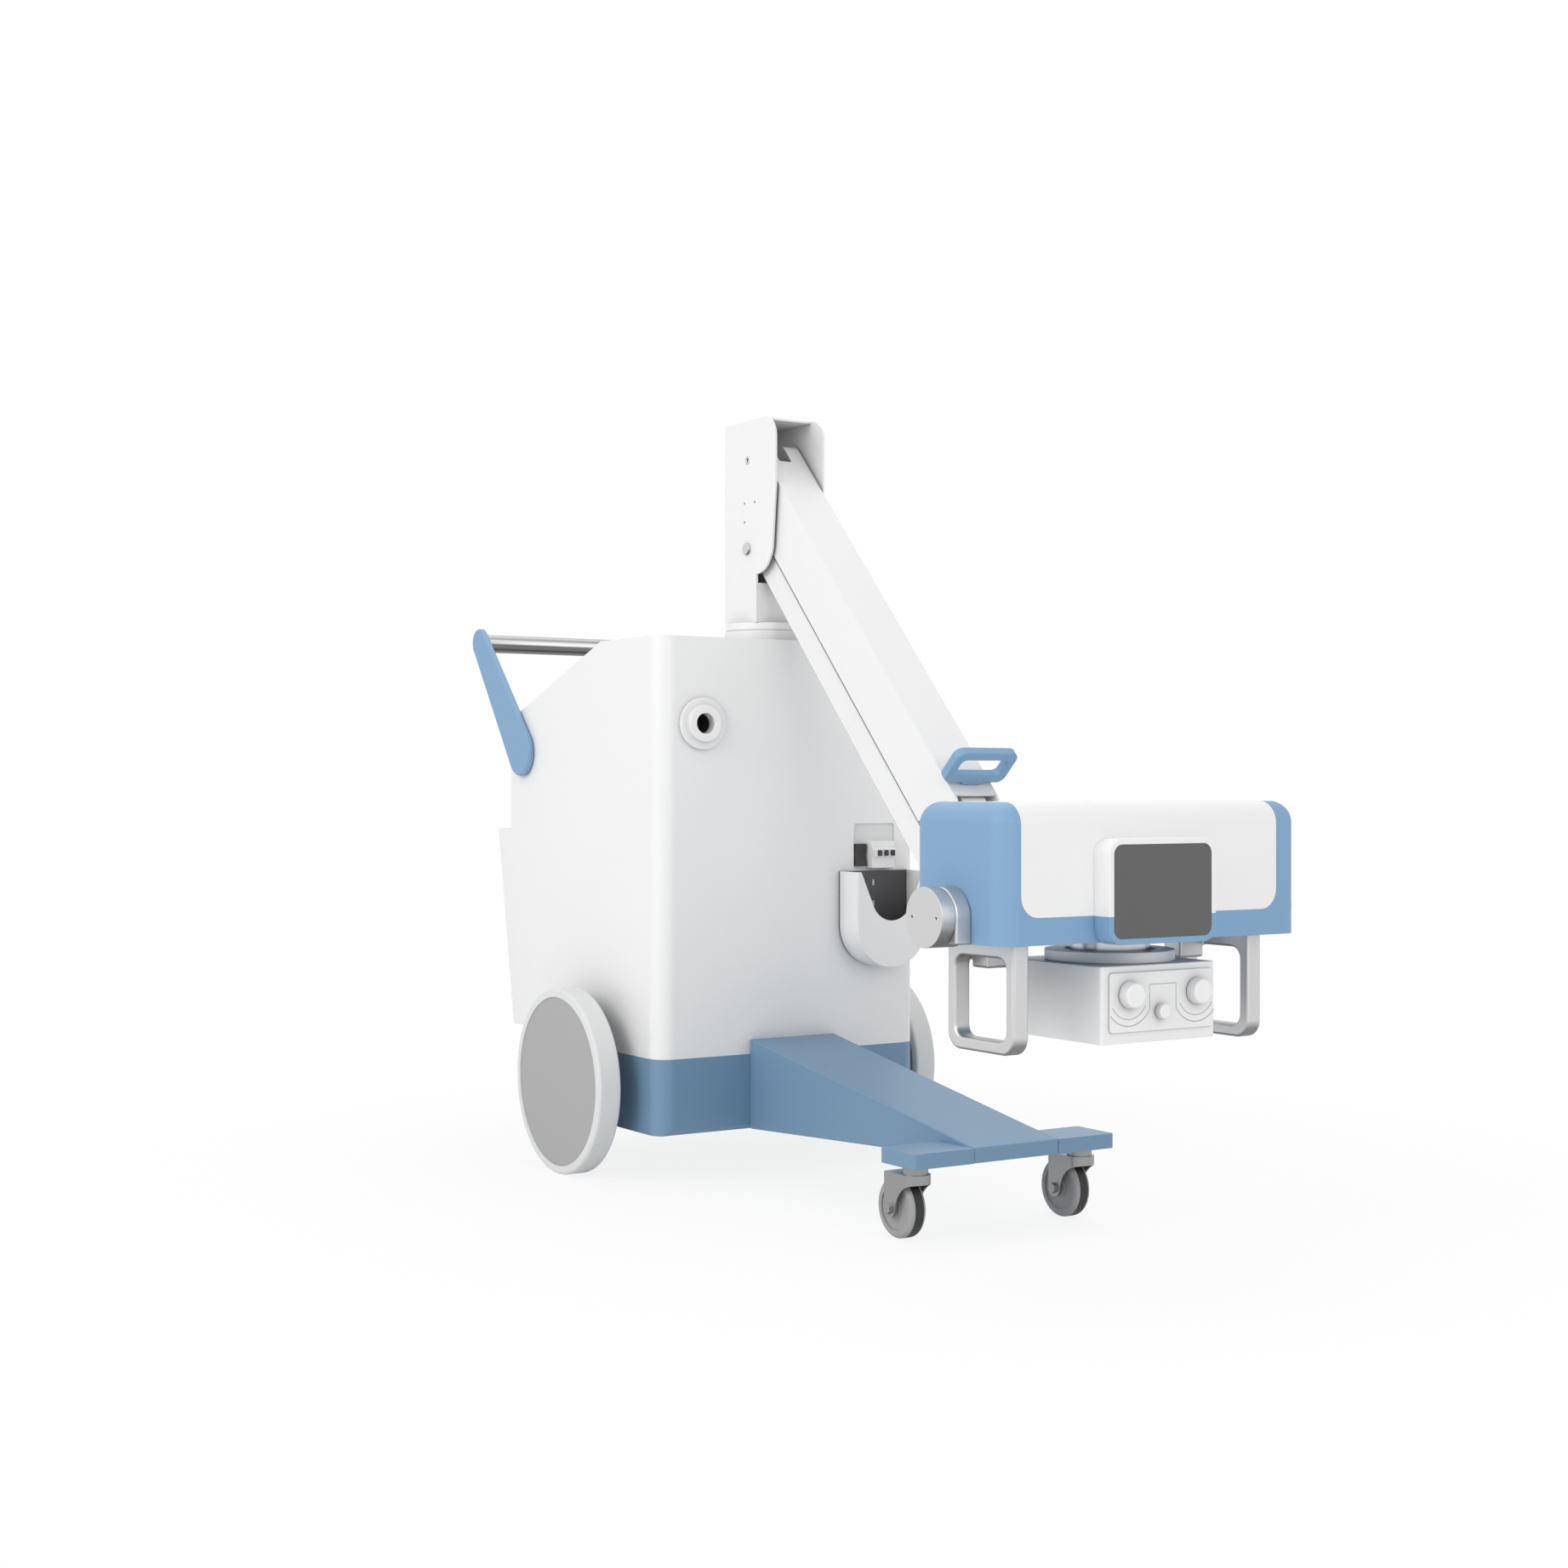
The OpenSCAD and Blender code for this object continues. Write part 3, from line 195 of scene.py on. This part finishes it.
def painted_reflection_metal(name, reflection_tones, rough, metal):
    """Metal with a painted reflection: its tone changes from its undersides to its tops, painted as a polished bar
    reflects a pale room.
    """
    material, tree, shader = new_material(name)
    shader.inputs["Metallic"].default_value = metal
    place = add_grain(tree, shader, 500.0, 0.15, 0.0001)
    split = tree.nodes.new("ShaderNodeSeparateXYZ")
    spread = tree.nodes.new("ShaderNodeMapRange")
    spread.inputs["From Min"].default_value = -1.0
    ramp = tree.nodes.new("ShaderNodeValToRGB")
    steps = ramp.color_ramp.elements
    for spare in range(len(reflection_tones) - 2):
        steps.new(0.5)
    for step, (spot, tone) in zip(steps, reflection_tones):
        step.position = spot
        step.color = (tone, tone, tone * 1.01, 1)
    shader.inputs["Roughness"].default_value = rough
    tree.links.new(place.outputs["Normal"], split.inputs["Vector"])
    tree.links.new(split.outputs["Z"], spread.inputs["Value"])
    tree.links.new(spread.outputs["Result"], ramp.inputs["Fac"])
    tree.links.new(ramp.outputs["Color"], shader.inputs["Base Color"])
    return material


def two_tone_material(name, upper, lower, height, rough):
    """Plastic that changes colour at a height above the floor, with a crisp line."""
    material, tree, shader = new_material(name)
    place = add_grain(tree, shader, 900.0, 0.2, 0.0002)
    split = tree.nodes.new("ShaderNodeSeparateXYZ")
    above = tree.nodes.new("ShaderNodeMath")
    above.operation = "GREATER_THAN"
    above.inputs[1].default_value = height
    mix = tree.nodes.new("ShaderNodeMix")
    mix.data_type = "RGBA"
    mix.inputs["A"].default_value = lower + (1,)
    mix.inputs["B"].default_value = upper + (1,)
    shader.inputs["Roughness"].default_value = rough
    tree.links.new(place.outputs["Object"], split.inputs["Vector"])
    tree.links.new(split.outputs["Z"], above.inputs[0])
    tree.links.new(above.outputs["Value"], mix.inputs["Factor"])
    tree.links.new(mix.outputs["Result"], shader.inputs["Base Color"])
    return material


def caster_material(name, side, tread, middle, half, rough):
    """A wheel whose tread is darker than its two sides; middle is its distance from the machine's middle."""
    material, tree, shader = new_material(name)
    place = add_grain(tree, shader, 600.0, 0.25, 0.0003)
    split = tree.nodes.new("ShaderNodeSeparateXYZ")
    steps = []
    for operation, value in (("ABSOLUTE", None), ("SUBTRACT", middle), ("ABSOLUTE", None), ("GREATER_THAN", half)):
        step = tree.nodes.new("ShaderNodeMath")
        step.operation = operation
        if value is not None:
            step.inputs[1].default_value = value
        tree.links.new(steps[-1].outputs[0] if steps else split.outputs["X"], step.inputs[0])
        steps.append(step)
    mix = tree.nodes.new("ShaderNodeMix")
    mix.data_type = "RGBA"
    mix.inputs["A"].default_value = tread + (1,)
    mix.inputs["B"].default_value = side + (1,)
    shader.inputs["Roughness"].default_value = rough
    tree.links.new(place.outputs["Object"], split.inputs["Vector"])
    tree.links.new(steps[-1].outputs[0], mix.inputs["Factor"])
    tree.links.new(mix.outputs["Result"], shader.inputs["Base Color"])
    return material


def glass_material(name, colour, rough, coat):
    return finish_material(name, colour, rough, 300.0, 0.00002, coat=coat, drift=0.02, rough_spread=0.03)


BAND_HEIGHT = 0.040
band_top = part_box("head_body")[0].z + BAND_HEIGHT
MATERIALS = {
    # white_paint, lamp_housing and knob_white get painted shade in their hollows; lamp_housing's wide reach paints its
    # sides darker under the head
    "white_paint": finish_material("white_paint", WHITE, 0.42, 700.0, 0.00025, coat=0.15, drift=0.012, painted_hollow_shade=(0.03, 0.6)),
    "lamp_housing": finish_material("lamp_housing", WHITE, 0.45, 700.0, 0.00025, coat=0.1, drift=0.012, painted_hollow_shade=(0.16, 0.35)),
    "knob_white": finish_material("knob_white", WHITE, 0.4, 900.0, 0.0002, coat=0.2, drift=0.012, painted_hollow_shade=(0.03, 0.2)),
    "blue_paint": finish_material("blue_paint", BLUE, 0.45, 650.0, 0.0003, coat=0.12),
    "blue_plastic": finish_material("blue_plastic", BLUE, 0.5, 900.0, 0.0003, drift=0.02),
    "white_plastic": finish_material("white_plastic", WHITE, 0.4, 900.0, 0.0002, coat=0.1, drift=0.012),
    "grey_plastic": finish_material("grey_plastic", PALE_GREY, 0.5, 900.0, 0.0003),
    "dark_plastic": finish_material("dark_plastic", (0.03, 0.03, 0.032), 0.4, 900.0, 0.0003),
    "screen": glass_material("screen", SCREEN_GREY, 0.35, 0.3),
    "clear_window": glass_material("clear_window", (0.30, 0.32, 0.33), 0.1, 1.0),
    # silver_metal, fork_metal and chrome carry painted reflections: darker on undersides, lighter bands towards their
    # tops
    "silver_metal": painted_reflection_metal("silver_metal", ((0.0, 0.14), (0.28, 0.24), (0.45, 0.56), (0.52, 0.66), (0.80, 0.62),
                                                  (1.0, 0.50)), 0.36, 0.8),
    "fork_metal": painted_reflection_metal("fork_metal", ((0.0, 0.12), (0.30, 0.20), (0.47, 0.32), (0.56, 0.36), (0.80, 0.40),
                                              (1.0, 0.55)), 0.36, 0.85),
    # Painted shade: the skirt, foot and leg take a darker copy of the blue
    "shaded_base_blue": finish_material("shaded_base_blue", SHADED_BLUE, 0.45, 650.0, 0.0003, coat=0.12),
    "chrome": painted_reflection_metal("chrome", ((0.0, 0.16), (0.30, 0.20), (0.44, 0.30), (0.52, 0.80), (0.68, 0.74),
                                      (0.78, 0.20), (0.90, 0.26), (1.0, 0.60)), 0.22, 0.9),
    "dark_metal": finish_material("dark_metal", (0.075, 0.075, 0.08), 0.45, 600.0, 0.0003),
    # Painted shade in the panel's engraved grooves
    "groove_shade_grey": finish_material("groove_shade_grey", GROOVE_SHADE_GREY, 0.6, 700.0, 0.0001),
    "wheel_grey": finish_material("wheel_grey", DISC_GREY, 0.55, 500.0, 0.0004),
    "pale_rubber": finish_material("pale_rubber", PALE_GREY, 0.6, 420.0, 0.0005),
    "dark_rubber": caster_material("dark_rubber", CASTER_GREY, DARK_RUBBER, 0.171, 0.0085, 0.6),
    "pod_shell": two_tone_material("pod_shell", WHITE, BLUE, band_top, 0.42),
}
SLOT_OF = {row["node"]: row["material_slot"] for row in frame["record"]["subparts"]}


# Pieces
def add_object(name, mesh, material, body):
    piece = bpy.data.objects.new(name, mesh)
    bpy.context.scene.collection.objects.link(piece)
    piece.data.materials.clear()
    piece.data.materials.append(MATERIALS[material])
    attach(piece, body)
    return piece


def smooth_mesh(mesh, angle=38):
    for polygon in mesh.polygons:
        polygon.use_smooth = True
    mesh.set_sharp_from_angle(angle=math.radians(angle))


def settled(piece):
    """Applies a piece's modifiers to its mesh."""
    bpy.context.view_layer.update()
    graph = bpy.context.evaluated_depsgraph_get()
    mesh = bpy.data.meshes.new_from_object(piece.evaluated_get(graph))
    piece.modifiers.clear()
    old = piece.data
    piece.data = mesh
    bpy.data.meshes.remove(old)
    return piece


def bevelled(piece, width, segments=3, angle=28):
    bevel = piece.modifiers.new("edge", "BEVEL")
    bevel.width = width
    bevel.segments = segments
    bevel.limit_method = "ANGLE"
    bevel.angle_limit = math.radians(angle)
    bevel.use_clamp_overlap = True
    weigh = piece.modifiers.new("weigh", "WEIGHTED_NORMAL")
    weigh.keep_sharp = True
    return settled(piece)


def softened(node, width, material=None, segments=3, angle=28, reshape=None):
    """A copy of a CAD node with its sharp edges rounded, which stands for the node."""
    mesh = bpy.data.meshes.new(node + "_form")
    form = bmesh.new()
    form.from_mesh(frame["nodes"][node].data)
    bmesh.ops.remove_doubles(form, verts=form.verts, dist=0.00002)
    bmesh.ops.dissolve_limit(form, angle_limit=math.radians(0.4), verts=form.verts, edges=form.edges)
    form.to_mesh(mesh)
    form.free()
    smooth_mesh(mesh)
    piece = add_object(node + "_shell", mesh, material or SLOT_OF[node], body_of_node(node))
    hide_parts(node)
    if reshape:
        reshape(piece)
    return bevelled(piece, width, segments, angle)


def closed_form(name, rings):
    """A closed mesh through rings of as many points each, with a face on the first and the last."""
    mesh = bpy.data.meshes.new(name)
    form = bmesh.new()
    rows = [[form.verts.new(point) for point in ring] for ring in rings]
    for low, high in zip(rows, rows[1:]):
        for k in range(len(low)):
            n = (k + 1) % len(low)
            form.faces.new((low[k], low[n], high[n], high[k]))
    form.faces.new(rows[0][::-1])
    form.faces.new(rows[-1])
    bmesh.ops.recalc_face_normals(form, faces=form.faces)
    form.to_mesh(mesh)
    form.free()
    return mesh


def stand_in(node, mesh, width, segments=3, material=None):
    """An own form that stands for a CAD node."""
    smooth_mesh(mesh)
    piece = add_object(node + "_shell", mesh, material or SLOT_OF[node], body_of_node(node))
    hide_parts(node)
    return bevelled(piece, width, segments)


# The leg's top runs straight from the cabinet to the front edge of the foot
def make_leg():
    low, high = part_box("leg")
    foot_low, foot_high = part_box("foot_wings")
    root, tip = 0.0945, 0.0875
    face = high.y
    slope = (high.z - foot_high.z) / (high.y - low.y)
    rear = foot_high.y
    outline = [(face, low.z, root), (face, high.z, root), (rear, foot_high.z + slope * (rear - low.y), tip),
               (low.y, foot_high.z, tip), (low.y, LEG_UNDER, tip), (rear, LEG_UNDER, tip)]
    rings = [[(side * wide, y, z) for y, z, wide in outline] for side in (-1, 1)]
    # the leg takes the blue with painted shade
    stand_in("leg", closed_form("leg_form", rings), 0.003, material="shaded_base_blue")


# The handle's arms are broad plates and the push bar between them is thicker than its core
def make_handle():
    bar_low, bar_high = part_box("push_bar")
    for node in ("handle_arm_left", "handle_arm_right"):
        low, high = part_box(node)
        upper = (high.y - ARM_TOP_R, high.z - ARM_TOP_R)
        lower = (low.y + ARM_FOOT_SHIFT + ARM_FOOT_R, low.z + ARM_FOOT_R)
        rings = [[(x, y, z) for y, z in round_bar(upper, ARM_TOP_R, lower, ARM_FOOT_R)] for x in (low.x, high.x)]
        stand_in(node, closed_form(node + "_form", rings), 0.005)
    centre = (bar_high.y - BAR_R, bar_high.z - BAR_R - BAR_DROP)
    circle = [(centre[0] + BAR_R * math.cos(2 * math.pi * i / 64), centre[1] + BAR_R * math.sin(2 * math.pi * i / 64))
              for i in range(64)]
    rings = [[(x, y, z) for y, z in circle] for x in (bar_low.x, bar_high.x)]
    stand_in("push_bar", closed_form("push_bar_form", rings), 0.0006, 1)


def round_bar(p1, r1, p2, r2, steps=24):
    """The outline round two circles."""
    d = Vector((p2[0] - p1[0], p2[1] - p1[1]))
    turn = math.atan2(d.y, d.x)
    swing = math.acos((r1 - r2) / d.length)
    points = []
    for centre, radius, start, end in ((p2, r2, turn - swing, turn + swing), (p1, r1, turn + swing, turn - swing + 2 * math.pi)):
        for i in range(steps + 1):
            a = start + (end - start) * i / steps
            points.append((centre[0] + radius * math.cos(a), centre[1] + radius * math.sin(a)))
    return points


LEG_UNDER = 0.124
ARM_TOP_R = 0.029
ARM_FOOT_R = 0.048
ARM_FOOT_SHIFT = 0.012
BAR_R = 0.019
BAR_DROP = 0.010


# The top edges of the head's ends are as round as its long edges, and its corners are balls
def round_ends(piece):
    low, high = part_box("head_body")
    middle = (low + high) / 2
    spare = 0.0003
    half_l, half_d = (high.x - low.x) / 2 + spare / 6, (high.y - low.y) / 2 + spare
    rings = [rounded_ring(middle, half_l, half_d, HEAD_END_R, low.z - 0.02)]
    for i in range(17):
        a = math.radians(90 * i / 16)
        inward = HEAD_END_R * (1 - math.cos(a))
        rings.append(rounded_ring(middle, half_l - inward, half_d - inward, max(HEAD_END_R - inward, 0.0001),
                                  high.z + spare - HEAD_END_R + HEAD_END_R * math.sin(a)))
    cutter = bpy.data.objects.new("end_cutter", closed_form("end_cutter", rings))
    bpy.context.scene.collection.objects.link(cutter)
    meet = piece.modifiers.new("ends", "BOOLEAN")
    meet.operation = "INTERSECT"
    meet.solver = "EXACT"
    meet.object = cutter
    settled(piece)
    smooth_mesh(piece.data)
    bpy.data.objects.remove(cutter, do_unlink=True)


def rounded_ring(middle, half_l, half_d, radius, height, steps=14):
    """A rectangle with round corners, level at a height."""
    ring = []
    for quarter, (sx, sy) in enumerate(((1, 1), (-1, 1), (-1, -1), (1, -1))):
        for i in range(steps + 1):
            a = math.radians(90 * quarter + 90 * i / steps)
            ring.append((middle.x + sx * (half_l - radius) + radius * math.cos(a),
                         middle.y + sy * (half_d - radius) + radius * math.sin(a), height))
    return ring


HEAD_END_R = 0.035


def lower_top(piece):
    """Moves the upper half of the screen's pod or glass down a little."""
    heights = [v.co.z for v in piece.data.vertices]
    middle = (min(heights) + max(heights)) / 2
    for v in piece.data.vertices:
        if v.co.z > middle:
            v.co.z -= POD_DROP


POD_DROP = 0.0055
RESHAPED = {"head_body": round_ends, "screen_glass": lower_top}
# The skirt and foot take the blue with painted shade; the forks take the metal with painted reflections
OWN_FINISH = {"caster_fork_left": "fork_metal", "caster_fork_right": "fork_metal", "skirt": "shaded_base_blue",
              "foot_wings": "shaded_base_blue", "collimator_box": "lamp_housing", "collimator_panel": "lamp_housing",
              "collimator_knobs": "knob_white"}

SOFT_EDGES = {
    "cabinet": 0.006, "skirt": 0.003, "foot_wings": 0.003, "collar_base": 0.002,
    "collar_top": 0.002, "cassette_bin": 0.0012,
    "console_panel": 0.0008, "breaker": 0.001, "rocker_switch": 0.0012, "column_post": 0.001,
    "column_plate_left": 0.001, "column_plate_right": 0.001, "column_bridge": 0.0008, "main_arm": 0.0012,
    "arm_grip": 0.005, "lower_link": 0.0012, "knuckle": 0.002, "head_bracket": 0.0015,
    "head_body": 0.0012, "head_cover": 0.0008, "screen_glass": 0.0003, "head_ears": 0.003,
    "head_discs": 0.0018, "loop_left": 0.004, "loop_right": 0.004, "collimator_flange": 0.0015,
    "collimator_box": 0.002, "collimator_panel": 0.001, "collimator_knobs": 0.0025, "cable_socket": 0.0015,
    "rear_disc_left": 0.001, "rear_disc_right": 0.001, "cradle": 0.0008, "cradle_back": 0.0004,
    "switch_panel": 0.0004, "breaker_toggles": 0.0008, "caster_fork_left": 0.0008, "caster_fork_right": 0.0008,
    "upper_pins": 0.0008, "arm_end_pin": 0.0006,
}


def make_soft_edges():
    for node, width in SOFT_EDGES.items():
        softened(node, width, OWN_FINISH.get(node), reshape=RESHAPED.get(node))
    softened("screen_pod", 0.006, "pod_shell", 5, reshape=lower_top)


# Thin lines cut into the collimator's panel, drawn as grey strips; their grey is painted shade in the grooves
def strip(name, points, width, front, deep, material, body):
    """A closed strip along points (x, z), from deep inside a forward-facing face to front."""
    mesh = bpy.data.meshes.new(name)
    form = bmesh.new()
    rows = []
    for i, point in enumerate(points):
        before = Vector(points[max(i - 1, 0)])
        after = Vector(points[min(i + 1, len(points) - 1)])
        along = (after - before).normalized()
        side = Vector((-along.y, along.x)) * width / 2
        row = []
        for sign, y in ((1, front), (-1, front), (-1, deep), (1, deep)):
            spot = Vector(point) + side * sign
            row.append(form.verts.new((spot.x, y, spot.y)))
        rows.append(row)
    for low, high in zip(rows, rows[1:]):
        for k in range(4):
            form.faces.new((low[k], low[(k + 1) % 4], high[(k + 1) % 4], high[k]))
    form.faces.new(rows[0])
    form.faces.new(rows[-1][::-1])
    bmesh.ops.recalc_face_normals(form, faces=form.faces)
    form.to_mesh(mesh)
    form.free()
    return add_object(name, mesh, material, body)


def arc(centre, radius, start, end, steps=24):
    angles = [math.radians(start + (end - start) * i / steps) for i in range(steps + 1)]
    return [(centre[0] + radius * math.cos(a), centre[1] + radius * math.sin(a)) for a in angles]


def make_panel_lines():
    low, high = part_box("collimator_panel")
    knobs_low, knobs_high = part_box("collimator_knobs")
    knob_r = 0.021
    knob_z = knobs_high.z - knob_r
    front, deep = low.y - 0.0002, low.y + 0.001
    centres = (knobs_low.x + knob_r, knobs_high.x - knob_r)
    tab_z = knob_z + 0.0135
    outer, inner = 0.047, 0.037
    tab_angle = 30
    left = arc((centres[0], knob_z), outer, -140, -tab_angle)
    right = arc((centres[1], knob_z), outer, 180 + tab_angle, 320)
    tab = [(left[-1][0], tab_z), (right[0][0], tab_z)]
    strip("panel_line", left + tab + right, 0.0011, front, deep, "groove_shade_grey", body_of_node("collimator_panel"))
    for name, centre, start, end in (("left", centres[0], -150, -28), ("right", centres[1], 208, 330)):
        strip("panel_arc_" + name, arc((centre, knob_z), inner, start, end), 0.0009, front, deep,
              "groove_shade_grey", body_of_node("collimator_panel"))


def make_socket_liner():
    """A dark cup deep in the round socket."""
    low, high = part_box("cable_socket")
    centre = (low + high) / 2
    radius, hole_deep, sheet = 0.019, 0.040, 0.001
    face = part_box("cabinet")[0].y
    profile = [(0, face + hole_deep - sheet), (0, face + hole_deep), (radius, face + hole_deep), (radius, face + 0.004),
               (radius - sheet, face + 0.004), (radius - sheet, face + hole_deep - sheet)]
    mesh = bpy.data.meshes.new("socket_liner")
    form = bmesh.new()
    steps = 48
    rings = []
    for i in range(steps):
        a = 2 * math.pi * i / steps
        rings.append([form.verts.new((centre.x + r * math.cos(a), y, centre.z + r * math.sin(a))) for r, y in profile])
    for i in range(steps):
        here, there = rings[i], rings[(i + 1) % steps]
        for k in range(len(profile)):
            n = (k + 1) % len(profile)
            form.faces.new((here[k], here[n], there[n], there[k]))
    bmesh.ops.remove_doubles(form, verts=form.verts, dist=0.000001)
    bmesh.ops.recalc_face_normals(form, faces=form.faces)
    form.to_mesh(mesh)
    form.free()
    smooth_mesh(mesh)
    add_object("socket_liner", mesh, "dark_plastic", body_of_node("cable_socket"))


def finish_plain_nodes():
    """Gives a procedural finish to each CAD node that shows as it is."""
    for node, piece in frame["nodes"].items():
        piece.data.materials.clear()
        piece.data.materials.append(MATERIALS[SLOT_OF[node]])


# Stage, lights and camera
def make_stage():
    size = 14.0
    mesh = bpy.data.meshes.new("floor")
    mesh.from_pydata([(-size, -size, 0), (size, -size, 0), (size, size, 0), (-size, size, 0)], [], [(0, 1, 2, 3)])
    floor = bpy.data.objects.new("floor", mesh)
    bpy.context.scene.collection.objects.link(floor)
    material = bpy.data.materials.new("floor")
    material.use_nodes = True
    tree = material.node_tree
    shader = tree.nodes["Principled BSDF"]
    shader.inputs["Base Color"].default_value = (0.9, 0.9, 0.9, 1)
    shader.inputs["Roughness"].default_value = 0.9
    shader.inputs["Specular IOR Level"].default_value = 0.1
    plain = tree.nodes.new("ShaderNodeEmission")
    mix = tree.nodes.new("ShaderNodeMixShader")
    place = tree.nodes.new("ShaderNodeTexCoord")
    reach = tree.nodes.new("ShaderNodeVectorMath")
    reach.operation = "LENGTH"
    fade = tree.nodes.new("ShaderNodeMapRange")
    fade.interpolation_type = "SMOOTHSTEP"
    fade.inputs["From Min"].default_value = 0.5
    fade.inputs["From Max"].default_value = 1.9
    fade.inputs["To Min"].default_value = FLOOR_WHITE
    share = tree.nodes.new("ShaderNodeMath")
    share.operation = "MULTIPLY"
    tree.links.new(place.outputs["Object"], reach.inputs[0])
    tree.links.new(reach.outputs["Value"], fade.inputs["Value"])
    tree.links.new(fade.outputs["Result"], share.inputs[0])
    tree.links.new(seen_or_mirrored(tree), share.inputs[1])
    tree.links.new(share.outputs["Value"], mix.inputs["Fac"])
    tree.links.new(shader.outputs["BSDF"], mix.inputs[1])
    tree.links.new(plain.outputs["Emission"], mix.inputs[2])
    tree.links.new(mix.outputs["Shader"], tree.nodes["Material Output"].inputs["Surface"])
    floor.data.materials.append(material)


def seen_or_mirrored(tree):
    """1 for rays from the camera, off metal or through glass, otherwise 0."""
    path = tree.nodes.new("ShaderNodeLightPath")
    total = path.outputs["Is Camera Ray"]
    for other in ("Is Glossy Ray", "Is Transmission Ray"):
        add = tree.nodes.new("ShaderNodeMath")
        add.operation = "MAXIMUM"
        tree.links.new(total, add.inputs[0])
        tree.links.new(path.outputs[other], add.inputs[1])
        total = add.outputs["Value"]
    return total


def make_world():
    world = bpy.data.worlds.new("studio")
    bpy.context.scene.world = world
    world.use_nodes = True
    tree = world.node_tree
    background = tree.nodes["Background"]
    background.inputs["Color"].default_value = (1, 1, 1, 1)
    level = tree.nodes.new("ShaderNodeMapRange")
    level.inputs["To Min"].default_value = WORLD_LIGHT
    level.inputs["To Max"].default_value = 1.0
    tree.links.new(seen_or_mirrored(tree), level.inputs["Value"])
    tree.links.new(level.outputs["Result"], background.inputs["Strength"])


def add_light(name, place, target, size, power):
    data = bpy.data.lights.new(name, "AREA")
    data.shape = "SQUARE"
    data.size = size
    data.energy = power
    light = bpy.data.objects.new(name, data)
    light.location = place
    light.rotation_euler = (Vector(target) - Vector(place)).to_track_quat("-Z", "Y").to_euler()
    bpy.context.scene.collection.objects.link(light)


def make_lights():
    middle = (0, 0, 0.6)
    add_light("key", (-4.0, -0.6, 2.6), middle, 2.6, 70)
    add_light("fill", (1.2, -4.2, 2.6), middle, 3.0, 12)
    add_light("near", (-0.4, -2.9, 1.5), (0, -0.8, 0.6), 1.2, 11)
    add_light("top", (0.6, 1.2, 4.2), middle, 3.0, 45)


def make_camera():
    data = bpy.data.cameras.new("camera")
    data.sensor_width = 36
    data.lens = CAMERA_LENS
    data.shift_y = CAMERA_SHIFT_Y
    data.clip_end = 100
    camera = bpy.data.objects.new("camera", data)
    camera.location = CAMERA_PLACE
    camera.rotation_euler = (math.radians(90), 0, math.radians(-CAMERA_YAW))
    bpy.context.scene.collection.objects.link(camera)
    bpy.context.scene.camera = camera


make_camera()
make_world()
make_lights()
make_stage()
finish_plain_nodes()
make_soft_edges()
make_leg()
make_handle()
make_panel_lines()
make_socket_liner()
bpy.context.scene.view_settings.view_transform = "Standard"
